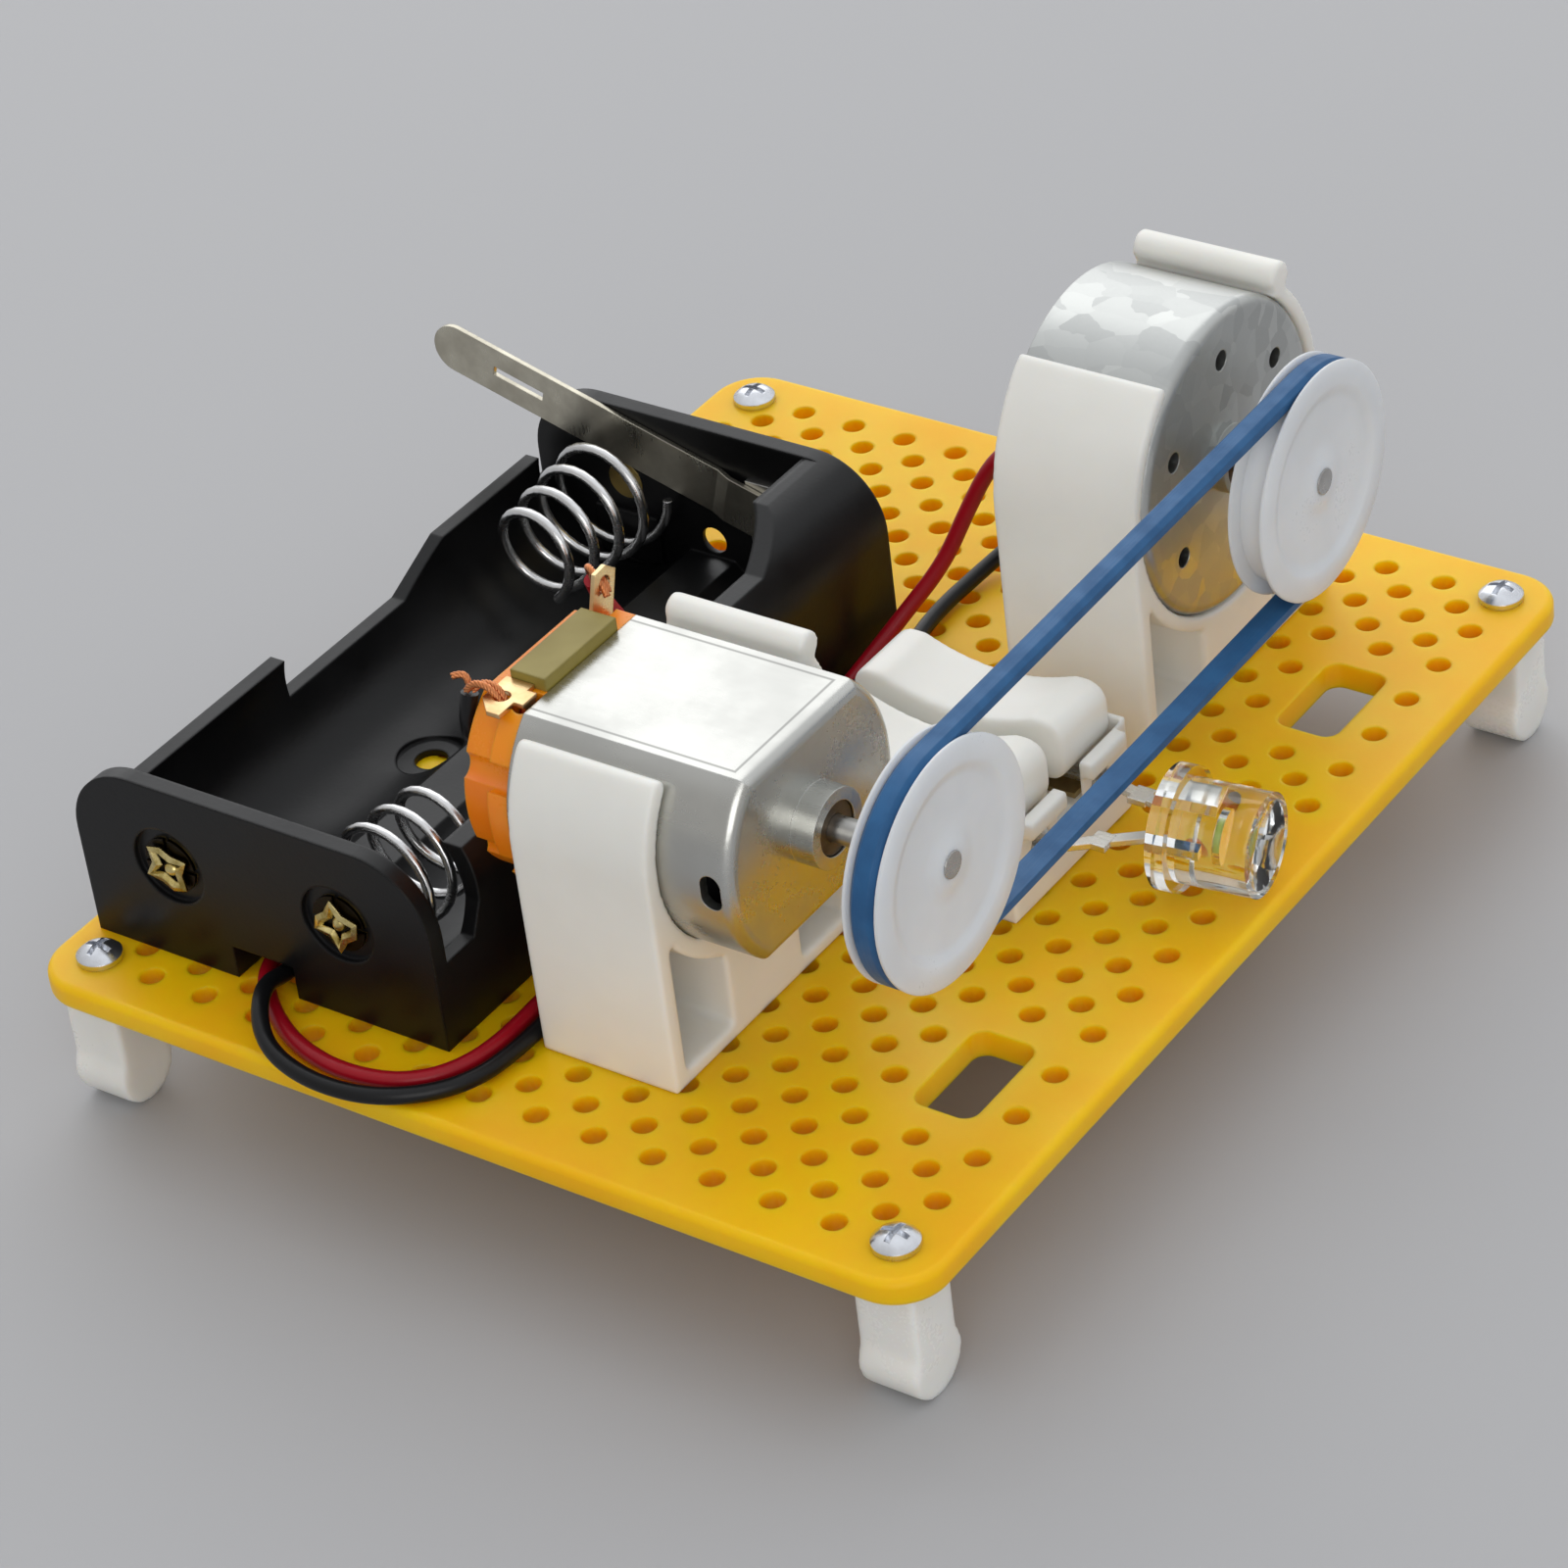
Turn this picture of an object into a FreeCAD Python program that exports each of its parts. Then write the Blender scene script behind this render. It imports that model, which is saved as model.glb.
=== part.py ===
"""Demonstration electric motor on a perforated board.

A small can motor drives a flat round generator through two pulleys and a flat belt. The generator
lights a lamp held in a two-way clamp block, and a two-cell battery box with a knife switch feeds the
motor. Lengths are in millimetres.

Driving dimensions are cells of the sheet "sizes". Their places count from the middle of the
board's upper face. What follows from them is in the variable set "layout". The finished part stands
with +Z up, its origin on the floor under the middle of its outline.
"""
import FreeCAD, Part
import math
import os
import re

import Sketcher

V = FreeCAD.Vector

SIZES = [
    # board, feet and screws
    ("board_length", 78, "board along X"),
    ("board_width", 93, "board along Y"),
    ("board_thick", 2.2, "board thickness"),
    ("board_corner", 4, "corner radius in plan"),
    ("board_rim_round", 0.6, "rounding of the outer rim"),
    ("lattice_pitch", 5, "pitch of the square lattice of holes"),
    ("lattice_margin", 4, "outermost hole to the board's edge"),
    ("lattice_hole", 1.9, "diameter of a lattice hole"),
    ("window_x", 5.2, "board window along X"),
    ("window_y", 9, "board window along Y"),
    ("window_corner", 1.2, "window corner radius"),
    ("window_at_x", 30, "window centre from the board's centre"),
    ("window_at_y", 25, "window centre from the board's centre"),
    ("foot_height", 10, "floor to the board's underside"),
    ("foot_post", 4.6, "foot post across Y"),
    ("foot_length", 5, "foot along X"),
    ("foot_bar", 5.6, "diameter of the bar at a foot's base"),
    ("foot_flat", 0.08, "how far the floor cuts into the bar"),
    ("screw_shank", 0.8, "screw shank radius"),
    ("screw_length", 7, "shank length of a foot screw"),
    ("screw_head", 1.75, "screw head radius"),
    ("screw_head_high", 1.25, "screw head height"),
    ("screw_head_side", 0.45, "straight side of a screw head"),
    ("screw_slot", 0.45, "width of the cross recess"),
    ("screw_slot_long", 2.1, "length of the cross recess"),
    ("screw_slot_deep", 0.7, "depth of the cross recess"),
    ("fixing_length", 5.2, "shank length of a screw driven from below"),
    ("pilot_clear", 0.02, "radial clearance of a pilot hole"),
    # battery box
    ("box_clear", 0.4, "box to the drive motor's end cap"),
    ("box_screw_gap", 1.05, "box to the heads of the foot screws"),
    ("box_wide", 32.6, "box along X"),
    ("box_long", 58.2, "box along Y"),
    ("box_high", 15.3, "end wall height"),
    ("box_wall", 1.4, "end wall thickness"),
    ("box_round", 6, "rounding of the upper long edges"),
    ("box_fix_x", 1.05, "first screw from the box's middle"),
    ("box_fix_y", 17.2, "first screw from the box's near end"),
    ("cell_pitch", 15.6, "cell axis to cell axis"),
    ("cradle", 7.35, "cradle radius"),
    ("box_floor", 0.85, "box floor under a cell"),
    ("ridge_high", 3.5, "ridge between the cells"),
    ("wall_near", 10.2, "left wall height beside the near end"),
    ("wall_low", 6.9, "left wall height in the finger gap"),
    ("wall_far", 9.5, "left wall height beside the switch"),
    ("gap_from", 22.7, "finger gap start from the near end"),
    ("gap_to", 37, "finger gap end from the near end"),
    ("gap_ramp", 5.6, "ramp from the finger gap to the far height"),
    ("jaw_wide", 1.6, "knife switch jaw in the left wall"),
    ("jaw_z", 7, "bottom of the knife switch jaw"),
    ("wall_right", 13.2, "right wall height, curled over the cell"),
    ("wall_shoulder", 15.2, "right wall height at the far shoulder"),
    ("notch_to", 4.6, "right wall's notch from the near end"),
    ("notch_step", 1.2, "notch to the foot of the right wall's curl"),
    ("notch_curl", 0.6, "foot to the top of that curl"),
    ("shoulder_from", 44, "start of the far shoulder's slope"),
    ("shoulder_to", 50, "end of the far shoulder's slope"),
    ("recess_r", 3.2, "rivet recess radius in the end walls"),
    ("recess_deep", 0.5, "rivet recess depth"),
    ("lead_way_at", -0.2, "lead way under the cells, from the box's middle"),
    ("lead_way_wide", 5.6, "lead way width"),
    ("lead_way_high", 2, "lead way height"),
    ("lead_way_deep", 5.6, "lead way from the near end"),
    ("lead_gate_high", 2.8, "lead way height in the near wall"),
    ("drain_x", 1.45, "floor hole from the left cell's axis"),
    ("drain_y", 27.6, "floor hole from the near end"),
    ("drain_r", 1.3, "floor hole radius"),
    ("drain_seat_r", 2.7, "radius of the seat round the floor hole"),
    ("drain_seat_z", 0.6, "height of that seat"),
    ("wall_hole_at", 0.35, "far wall's hole from the box's middle"),
    ("wall_hole_z", 5, "height of the far wall's hole"),
    ("wall_hole_r", 1.15, "radius of the far wall's hole"),
    ("wall_hole_thick", 0.4, "wall left round that hole"),
    # battery contacts
    ("contact_half", 3.4, "half side of a contact plate"),
    ("contact_thick", 0.35, "contact plate thickness"),
    ("rivet_z", 8.4, "rivet and switch pivot height"),
    ("rivet_shank", 0.9, "rivet shank radius"),
    ("rivet_head", 1.6, "rivet head radius"),
    ("rivet_head_thick", 0.45, "rivet head thickness"),
    ("rivet_claw", 2.3, "radius of the splayed rivet end"),
    ("rivet_claw_thick", 0.35, "thickness of the splayed rivet end"),
    ("claw_slit", 0.4, "slit between two claws"),
    ("claw_root", 1, "start of a slit from the rivet's axis"),
    ("rivet_clear", 0.05, "radial clearance round a rivet"),
    ("spring_wire", 0.4, "spring wire radius"),
    ("spring_base", 4.8, "spring radius at its base"),
    ("spring_cone", 5.6, "spring cone half angle"),
    ("spring_long", 12, "spring height between wire centres"),
    ("spring_pitch", 2.9, "spring pitch"),
    ("spring_runs", 16, "straight runs to one turn of a spring"),
    ("tab_half", 3, "half width of the far spring's tab"),
    ("tab_high", 5.8, "top of the far spring's tab"),
    # knife switch blade
    ("blade_long", 34, "pivot to the blade's tip"),
    ("blade_wide", 4.2, "blade width"),
    ("blade_thick", 0.4, "blade thickness"),
    ("blade_tilt", 15.5, "blade's rise at rest, degrees"),
    ("blade_set", 0.35, "offset of the blade's joggle"),
    ("joggle_from", 5.4, "joggle start from the pivot"),
    ("joggle_to", 6.6, "joggle end from the pivot"),
    ("blade_slit_from", 23.3, "slit start from the pivot"),
    ("blade_slit_to", 28.1, "slit end from the pivot"),
    ("blade_slit_wide", 0.8, "slit width"),
    # drive motor
    ("drive_y", -24.8, "drive motor axis"),
    ("drive_z", 17.9, "drive motor axis height"),
    ("drive_x", 0, "rear of the drive motor's can"),
    ("drive_can_r", 10.05, "can radius"),
    ("drive_flat", 7.55, "axis to the can's flats"),
    ("drive_long", 18.7, "can length"),
    ("drive_wall", 0.8, "can wall"),
    ("drive_front_round", 1, "rounding of the can's front edge"),
    ("drive_boss_r", 3, "front boss radius"),
    ("drive_boss_long", 1.9, "front boss length"),
    ("drive_cap_long", 4.35, "end cap length behind the can"),
    ("drive_cap_band", 1.7, "full-size band of the end cap"),
    ("drive_cap_r", 9.2, "end cap's stepped radius"),
    ("drive_cap_wall", 1.1, "end cap wall"),
    ("drive_shaft_r", 1, "shaft radius"),
    ("drive_core_gap", 0.15, "armature to the can's flats"),
    ("drive_core_long", 9, "armature stack length"),
    ("drive_core_x", 5, "armature start from the can's rear"),
    ("drive_magnet_long", 12, "magnet length"),
    ("drive_magnet_x", 3.5, "magnet start from the can's rear"),
    ("drive_magnet_from", 3.5, "inner edge of a magnet from the axis, across"),
    ("drive_comm_back", 0.2, "commutator start behind the can's rear"),
    ("vent_back", 1.7, "can vent from the can's front"),
    ("vent_long", 2.8, "can vent height"),
    ("vent_wide", 1.7, "can vent width"),
    ("pad_long", 3, "cap pad along X"),
    ("pad_wide", 8.4, "cap pad along Y"),
    ("pad_shift", 0.35, "cap pad's middle from the motor's axis, across"),
    ("pad_thick", 2, "cap pad thickness"),
    ("pad_proud", 1, "cap pad above the can's flat"),
    ("lug_wide", 2.4, "terminal lug width"),
    ("lug_long", 4.4, "far terminal lug length"),
    ("lug_thick", 0.35, "terminal lug thickness"),
    ("lug_root", 1.6, "depth of a lug's root in the end cap"),
    ("lug_root_wide", 1.2, "width of a lug's root"),
    ("lug_hole", 0.65, "terminal lug hole radius"),
    ("lug_eye", 1.4, "lug hole from the lug's tip"),
    ("lug_point", 0.5, "height of the lug's pointed tip"),
    ("lug_socket", 3, "height cleared above a lug's root"),
    ("near_lug_back", 0.45, "near lug behind the can's rear"),
    ("near_lug_out", 5.5, "near lug from the motor's axis, across"),
    ("near_lug_up", 0.2, "near lug's fold above the can's flat"),
    ("near_lug_tab", 1.6, "width of the near lug's tab"),
    ("near_lug_reach", 3, "near lug's rear edge from its root"),
    ("near_lug_in", 1.58, "near lug's inner end from its root"),
    ("near_lug_tip", 2.5, "near lug's tip from its root"),
    ("near_lug_cut", 1.3, "corner cut off that tip"),
    ("near_lug_eye", 0.55, "near lug's hole from its root, across"),
    ("far_lug_back", 2.9, "far lug behind the can's rear"),
    ("far_lug_out", 6.1, "far lug from the motor's axis, across"),
    ("far_lug_down", 1.25, "far lug's fold below the can's flat"),
    ("scallop_r", 1.1, "radius of a scallop in the end cap"),
    ("scallop_out", 0.5, "a scallop's centre outside the end cap"),
    ("cap_seat_long", 0.9, "bearing seat inside the end cap's wall"),
    # generator
    ("gen_y", 25.8, "generator axis"),
    ("gen_z", 18.95, "generator axis height"),
    ("gen_x", 9.6, "rear of the generator's can"),
    ("gen_can_r", 12.2, "can radius"),
    ("gen_long", 12.3, "can length"),
    ("gen_wall", 0.8, "can wall"),
    ("gen_rim_round", 0.9, "rounding of the can's front edge"),
    ("gen_cover_thick", 1.6, "rear cover thickness"),
    ("gen_boss_r", 2.6, "front boss radius"),
    ("gen_boss_long", 1.1, "front boss length"),
    ("gen_shaft_r", 1, "shaft radius"),
    ("gen_core_gap", 0.5, "windings to the can's front"),
    ("gen_comm_gap", 0.3, "rear cover to the commutator"),
    ("gen_coil_gap", 0.1, "commutator to the windings"),
    ("gen_magnet_thick", 2.45, "magnet ring thickness"),
    ("gen_magnet_long", 7, "magnet ring length"),
    ("gen_magnet_x", 3.2, "magnet ring start from the can's rear"),
    ("gen_hole_ring", 8.5, "radius of the ring of front holes"),
    ("gen_hole_r", 0.8, "front hole radius"),
    ("gen_lug_out", 4.4, "soldering lug from the axis"),
    ("gen_lug_in", 0.6, "soldering lug behind the rear cover"),
    ("gen_lug_inside", 1.8, "soldering lug in front of the rear cover"),
    # parts that both machines share
    ("air_gap", 0.5, "armature to the magnets"),
    ("shaft_back", 0.4, "shaft's rear end inside the rear face"),
    ("bush_back", 0.2, "front bushing's end inside the boss"),
    ("bush_r", 2, "bushing outer radius"),
    ("bush_clear", 0.03, "radial running clearance"),
    ("seat_clear", 0.05, "clearance of a fixed seat"),
    ("hub_r", 2.6, "armature hub radius"),
    ("stem_wide", 2.2, "armature stem width"),
    ("shoe_thick", 1, "armature shoe thickness"),
    ("shoe_gap", 1.4, "gap between two shoes"),
    ("coil_thick", 1.1, "winding thickness round a stem"),
    ("coil_hub_gap", 0.5, "winding to the hub"),
    ("coil_shoe_gap", 0.15, "winding to the shoe"),
    ("comm_r", 2.2, "commutator radius"),
    ("comm_long", 2.4, "commutator length"),
    ("comm_slit", 0.35, "slit between two segments"),
    ("brush_thick", 0.25, "brush leaf thickness"),
    ("brush_clear", 0.05, "brush to commutator"),
    ("brush_inset", 0.3, "brush inside the commutator's ends"),
    ("brush_long", 8.4, "brush leaf length"),
    ("brush_low", 3.2, "brush leaf below the axis"),
    # brackets
    ("drive_mount_x", 1, "drive bracket's rear face"),
    ("drive_mount_long", 11.8, "drive bracket along X"),
    ("drive_saddle", 1.45, "drive bracket's wall round the can"),
    ("drive_arm", 36, "drive bracket's arms above the axis, degrees"),
    ("drive_block", 4.3, "drive bracket's half block"),
    ("drive_lip_r", 1.1, "drive bracket's far lip radius"),
    ("drive_lip_out", 0.2, "drive bracket's far lip outside its wall"),
    ("drive_fix_x", 4, "first screw from the drive bracket's rear"),
    ("drive_fix_y", 2.3, "first screw from the drive motor's axis"),
    ("gen_mount_x", 9.6, "generator bracket's rear face"),
    ("gen_mount_long", 12.2, "generator bracket along X"),
    ("gen_saddle", 1.2, "generator bracket's wall round the can"),
    ("gen_arm", 50, "generator bracket's arms above the axis, degrees"),
    ("gen_block", 5, "generator bracket's half block"),
    ("gen_lip_r", 1.2, "generator bracket's far lip radius"),
    ("gen_lip_out", 0.4, "generator bracket's far lip outside its wall"),
    ("gen_fix_x", 5.4, "first screw from the generator bracket's rear"),
    ("gen_fix_y", -3.3, "first screw from the generator's axis"),
    ("leg_thick", 1.4, "bracket leg thickness"),
    ("web_thick", 1.2, "thin floor of a bracket's pocket"),
    # pulleys and belt
    ("pulley_x", 27, "pulley's rear face"),
    ("pulley_wide", 3, "pulley width"),
    ("pulley_r", 9.2, "pulley rim radius"),
    ("groove_r", 8.05, "belt seat radius"),
    ("rim_rear", 0.45, "rear flange thickness"),
    ("face_recess_r", 6.6, "recess in the pulley's faces"),
    ("face_recess_deep", 0.35, "depth of that recess"),
    ("pulley_hub_r", 2.3, "pulley hub radius"),
    ("belt_thick", 1.05, "belt thickness"),
    ("belt_wide", 1.9, "belt width"),
    ("belt_clear", 0.06, "belt to groove"),
    ("belt_side", 0.1, "belt to a flange"),
    # clamp block
    ("block_x", 3.6, "clamp block's rear face"),
    ("block_y", -1.2, "clamp block's middle"),
    ("block_high", 8, "clamp block height"),
    ("block_end_wall", 0.3, "wall at the ends of a lever's channel"),
    ("block_side_wall", 0.35, "wall outside a lever's channel"),
    ("block_fix_x", 3.9, "first screw from the block's rear face"),
    ("block_fix_y", 1.2, "first screw from the block's middle"),
    ("notch_long", 2.2, "notch between the ledges, along X"),
    ("notch_floor", 2.4, "floor of that notch"),
    ("row_pitch", 8.2, "one clamp to the next"),
    ("ledge_long", 1, "ledge over a lead entry"),
    ("ledge_wide", 4.9, "ledge width"),
    ("ledge_thick", 1.4, "ledge thickness"),
    ("lever_long", 18.2, "lever length"),
    ("lever_wide", 6.4, "lever width"),
    ("lever_top", 11.3, "top of the lever's ends"),
    ("lever_dip", 1.4, "dip in the lever's top"),
    ("lever_shoulder", 2.6, "lever's end to its dip"),
    ("heel_rise", 1.6, "slope under the lever's wire side, at its end"),
    ("lever_base", 6.2, "underside of the lever"),
    ("lever_round", 1.6, "rounding of the lever's ends"),
    ("lever_gap", 0.35, "lever to the sides of its channel"),
    ("lever_end_gap", 0.6, "lever to the ends of its channel"),
    ("channel_floor", 3.8, "floor of the lever's channel"),
    ("pin_r", 0.8, "lever pin radius"),
    ("pin_z", 7.1, "lever pin height"),
    ("entry_r", 1.1, "lead entry radius"),
    ("entry_z", 4.9, "lead entry height"),
    ("clamp_wide", 3, "clamp strip width"),
    ("clamp_thick", 0.4, "clamp strip thickness"),
    ("clamp_inset", 0.5, "clamp strip inside the lever's ends"),
    # lamp
    ("lamp_gap", 0.9, "pulleys' front to the lamp's flange"),
    ("lamp_y", 0.5, "lamp centre"),
    ("lamp_clear", 0.05, "lamp's flange above the board"),
    ("lamp_yaw", 7, "lamp turned towards +Y, degrees"),
    ("lamp_r", 3.9, "lamp body radius"),
    ("lamp_long", 7.4, "lamp length"),
    ("lamp_flange_r", 4.7, "lamp flange radius"),
    ("lamp_flange_long", 1.4, "lamp flange thickness"),
    ("lamp_dish_deep", 0.7, "depth of that dish"),
    ("lamp_dish_rim", 0.6, "rim round that dish"),
    ("die_r", 1.3, "light-giving chip radius"),
    ("die_thick", 0.5, "chip thickness"),
    ("die_x", 4.2, "chip from the flange's rear"),
    ("leg_deep", 0.5, "lamp leg, up and down"),
    ("leg_wide", 0.9, "lamp leg, across"),
    ("leg_spread", 1.9, "lamp leg from the lamp's axis"),
    ("leg_root", 0.8, "end of a leg's slot before the chip"),
    ("leg_grip", 4, "lamp leg inside the clamp block"),
    ("leg_out", 1.4, "straight of a leg before the clamp block"),
    ("leg_straight", 1.2, "straight of a leg behind the flange"),
    ("leg_inside", 3, "lamp leg inside the lens"),
    ("stop_long", 1.5, "lamp leg stop along X"),
    ("stop_wide", 1.7, "lamp leg stop across"),
    # leads
    ("lead_r", 0.65, "radius of a lead"),
    ("strand_r", 0.16, "radius of one bared strand"),
]

LAYOUT = [
    # what follows from the driving dimensions
    ("board_top", "foot_height + board_thick"),
    ("box_x", "drive_x - drive_cap_long - box_clear - box_wide / 2"),
    ("box_near", "lattice_margin + screw_head + box_screw_gap - board_width / 2"),
    ("box_far", "box_near + box_long"),
    ("near_face", "box_near + box_wall"),
    ("far_face", "box_far - box_wall"),
    ("left_cell", "box_x - cell_pitch / 2"),
    ("right_cell", "box_x + cell_pitch / 2"),
    ("cell_z", "box_floor + cradle"),
    ("left_reach",
     "(blade_long - blade_wide / 2) * cos(blade_tilt) + blade_wide / 2 - right_cell"),
    ("board_x", "(left_reach - board_length / 2) / 2"),
    ("blade_y", "far_face - contact_thick - rivet_clear - blade_thick"),
    ("drive_front", "drive_x + drive_long"),
    ("drive_core_r", "drive_flat - drive_wall - drive_core_gap"),
    ("drive_magnet_in", "drive_core_r + air_gap"),
    ("drive_mount_r", "drive_can_r + drive_saddle"),
    ("gen_front", "gen_x + gen_long"),
    ("gen_magnet_in", "gen_can_r - gen_wall - seat_clear - gen_magnet_thick"),
    ("gen_core_r", "gen_magnet_in - air_gap"),
    ("gen_comm_x", "gen_x + gen_cover_thick + gen_comm_gap"),
    ("gen_core_x", "gen_comm_x - gen_x + comm_long + gen_coil_gap + coil_thick"),
    ("gen_core_long", "gen_long - gen_wall - gen_core_gap - coil_thick - gen_core_x"),
    ("gen_mount_r", "gen_can_r + gen_saddle"),
    ("shaft_end", "pulley_x + pulley_wide"),
    ("groove_wide", "belt_wide + 2 * belt_side"),
    ("belt_x", "pulley_x + rim_rear + belt_side"),
    ("lever_x", "block_x + block_end_wall + lever_end_gap"),
    ("block_long", "lever_long + 2 * (lever_end_gap + block_end_wall)"),
    ("block_wide", "row_pitch + lever_wide + 2 * (lever_gap + block_side_wall)"),
    ("block_end", "block_x + block_long"),
    ("near_row", "block_y - row_pitch / 2"),
    ("far_row", "block_y + row_pitch / 2"),
    ("lamp_x", "shaft_end + lamp_gap"),
    ("lamp_z", "lamp_flange_r + lamp_clear"),
]

# Routes of the leads, chosen by hand: x, y, z from the middle of the board's upper face.
ROUTES = {
    "battery_lead_black": [
        (-20.2, -34.9, 0.9), (-20.0, -38.5, 1.1), (-19.2, -42.6, 2.9), (-16.3, -46.4, 1.5),
        (-11.2, -47.7, 0.8), (-5.2, -47.0, 0.8), (-0.6, -43.0, 0.8), (0.3, -37.2, 0.8),
        (-0.2, -29.0, 0.8), (-0.1, -20.4, 0.8), (-0.6, -13.8, 1.0), (-0.9, -10.0, 4.6),
        (-1.9, -9.4, 10.4), (-4.6, -10.3, 15.0), (-6.6, -14.9, 17.0), (-6.3, -21.4, 17.5),
        (-6.2, -27.2, 18.6), (-5.7, -30.7, 21.0), (-5.3, -31.4, 23.4), (-5.1, -30.9, 25.3),
    ],
    "battery_lead_red": [
        (-22.9, -34.9, 0.8), (-22.5, -38.7, 0.7), (-18.9, -42.2, 0.7), (-14.5, -44.8, 0.75),
        (-9.2, -45.8, 0.8), (-4.2, -44.5, 0.8), (-1.4, -40.2, 0.8), (-1.5, -32.4, 0.8),
        (-2.3, -23.4, 0.8), (-2.4, -15.4, 0.9), (-2.5, -12.4, 4.8), (-2.8, -12.6, 10.8),
        (-3.5, -13.0, 16.4), (-4.9, -13.8, 20.6), (-5.3, -15.5, 23.8), (-4.9, -16.5, 26.0),
    ],
    "generator_lead_black": [
        (3.8, 2.9, 4.9), (1.0, 3.0, 4.8), (-1.3, 4.3, 4.1), (-1.9, 7.0, 2.7),
        (-1.6, 10.4, 1.2), (-1.7, 14.6, 0.8), (-3.0, 20.6, 0.8), (-2.8, 27.4, 0.9),
        (-1.2, 32.4, 2.4),
        (1.2, 34.6, 6.6), (3.2, 34.0, 11.6), (4.8, 32.0, 15.8), (6.4, 30.6, 18.3),
        (8.85, 30.2, 18.95),
    ],
    "generator_lead_red": [
        (3.8, -5.3, 4.9), (0.2, -5.1, 4.5), (-2.2, -2.4, 2.7), (-3.1, 2.2, 0.9),
        (-3.4, 7.4, 0.8), (-3.4, 12.0, 1.6), (-2.2, 15.8, 4.0), (0.0, 18.8, 7.6),
        (1.6, 20.3, 12.0), (3.5, 21.1, 16.0), (5.9, 21.4, 18.4), (8.85, 21.4, 18.95),
    ],
}

# Bared strands, from the end of a lead to the eye of its lug.
STRANDS = {
    "near": [
        [(-4.8, -30.9, 25.55), (-4.4, -30.6, 26.1), (-3.5, -30.5, 26.35),
         (-2.5, -30.6, 26.1), (-2.1, -30.75, 25.4)],
        [(-5.1, -31.2, 25.65), (-4.7, -31.1, 26.3), (-3.8, -31.0, 26.5),
         (-2.75, -31.0, 26.15), (-2.3, -31.05, 25.4)],
        [(-5.25, -30.65, 25.6), (-5.5, -30.4, 26.1), (-6.0, -30.5, 26.4), (-6.5, -30.9, 26.25)],
    ],
    "far": [
        [(-4.75, -16.6, 26.15), (-4.5, -17.0, 27.0), (-3.7, -17.4, 27.35), (-2.8, -17.62, 27.2),
         (-2.45, -17.85, 26.5)],
        [(-5.05, -16.35, 26.2), (-4.9, -16.9, 27.3), (-4.2, -17.5, 27.9), (-3.4, -17.9, 27.6),
         (-2.7, -18.05, 27.0), (-2.3, -18.25, 26.4)],
    ],
}

doc = FreeCAD.newDocument("demonstration_motor")
sheet = doc.addObject("Spreadsheet::Sheet", "sizes")
for row, (alias, number, meaning) in enumerate(SIZES, start=1):
    sheet.set(f"A{row}", meaning)
    sheet.set(f"B{row}", str(number))
    sheet.setAlias(f"B{row}", alias)
doc.recompute()

WORD = re.compile(r"\b[a-z][a-z0-9_]*\b")
HOLDER = {alias: "sizes" for alias, _, _ in SIZES}
HOLDER.update({name: "layout" for name, _ in LAYOUT})

layout = doc.addObject("App::VarSet", "layout")
TURNS = {
    "Z": FreeCAD.Rotation(),
    "X": FreeCAD.Rotation(V(0, 1, 0), 90),
    "Y": FreeCAD.Rotation(V(1, 0, 0), -90),
    "side": FreeCAD.Rotation(V(1, 1, 1), 120),
    "front": FreeCAD.Rotation(V(1, 0, 0), 90),
}
ORIGIN = ("0", "0", "0")
NODES = []
PLACES = {}


def full(expression):
    """Name the sheet or the layout before each alias in an expression."""
    def holder(found):
        word = found.group(0)
        return f"{HOLDER[word]}.{word}" if word in HOLDER else word
    return WORD.sub(holder, str(expression))


def bind(obj, prop, expression):
    """Drive one property of an object by an expression of aliases."""
    obj.setExpression(prop, full(expression))


def value(expression):
    """The present number of an expression of aliases."""
    return float(layout.evalExpression(full(expression)))


def place(obj, at=ORIGIN, axis="Z", turn=None):
    """Put an object at expressions x, y, z, with its own Z along an axis, or turned about one."""
    obj.Placement = FreeCAD.Placement(V(), TURNS[axis])
    if turn:
        about, angle = turn
        obj.Placement = FreeCAD.Placement(V(), FreeCAD.Rotation(about, value(angle)))
        bind(obj, "Placement.Rotation.Angle", angle)
    for direction, expression in zip("xyz", at):
        bind(obj, f"Placement.Base.{direction}", expression)
    PLACES[obj.Name] = at
    return obj


def box(name, size, at):
    """A box of three size expressions whose lowest corner is at a place."""
    obj = doc.addObject("Part::Box", name)
    for prop, expression in zip(("Length", "Width", "Height"), size):
        bind(obj, prop, expression)
    return place(obj, at)


def cylinder(name, radius, length, at=ORIGIN, axis="Z"):
    """A cylinder that starts at a place and runs along an axis."""
    obj = doc.addObject("Part::Cylinder", name)
    bind(obj, "Radius", radius)
    bind(obj, "Height", length)
    return place(obj, at, axis)


def sphere(name, radius, at):
    """A whole sphere."""
    obj = doc.addObject("Part::Sphere", name)
    bind(obj, "Radius", radius)
    return place(obj, at)


def fuse(name, *parts):
    """One solid of several that overlap."""
    obj = doc.addObject("Part::MultiFuse", name)
    obj.Shapes = list(parts)
    obj.Refine = True
    return obj


def cut(name, base, *tools):
    """A base with its tools taken away."""
    obj = doc.addObject("Part::Cut", name)
    obj.Base = base
    obj.Tool = tools[0] if len(tools) == 1 else fuse(name + "_tools", *tools)
    obj.Refine = True
    return obj


def common(name, first, second):
    """What two solids share."""
    obj = doc.addObject("Part::Common", name)
    obj.Base = first
    obj.Tool = second
    return obj


def group(name, *parts):
    """Separate solids kept together in one sub-part."""
    obj = doc.addObject("Part::Compound", name)
    obj.Links = list(parts)
    return obj


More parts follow.
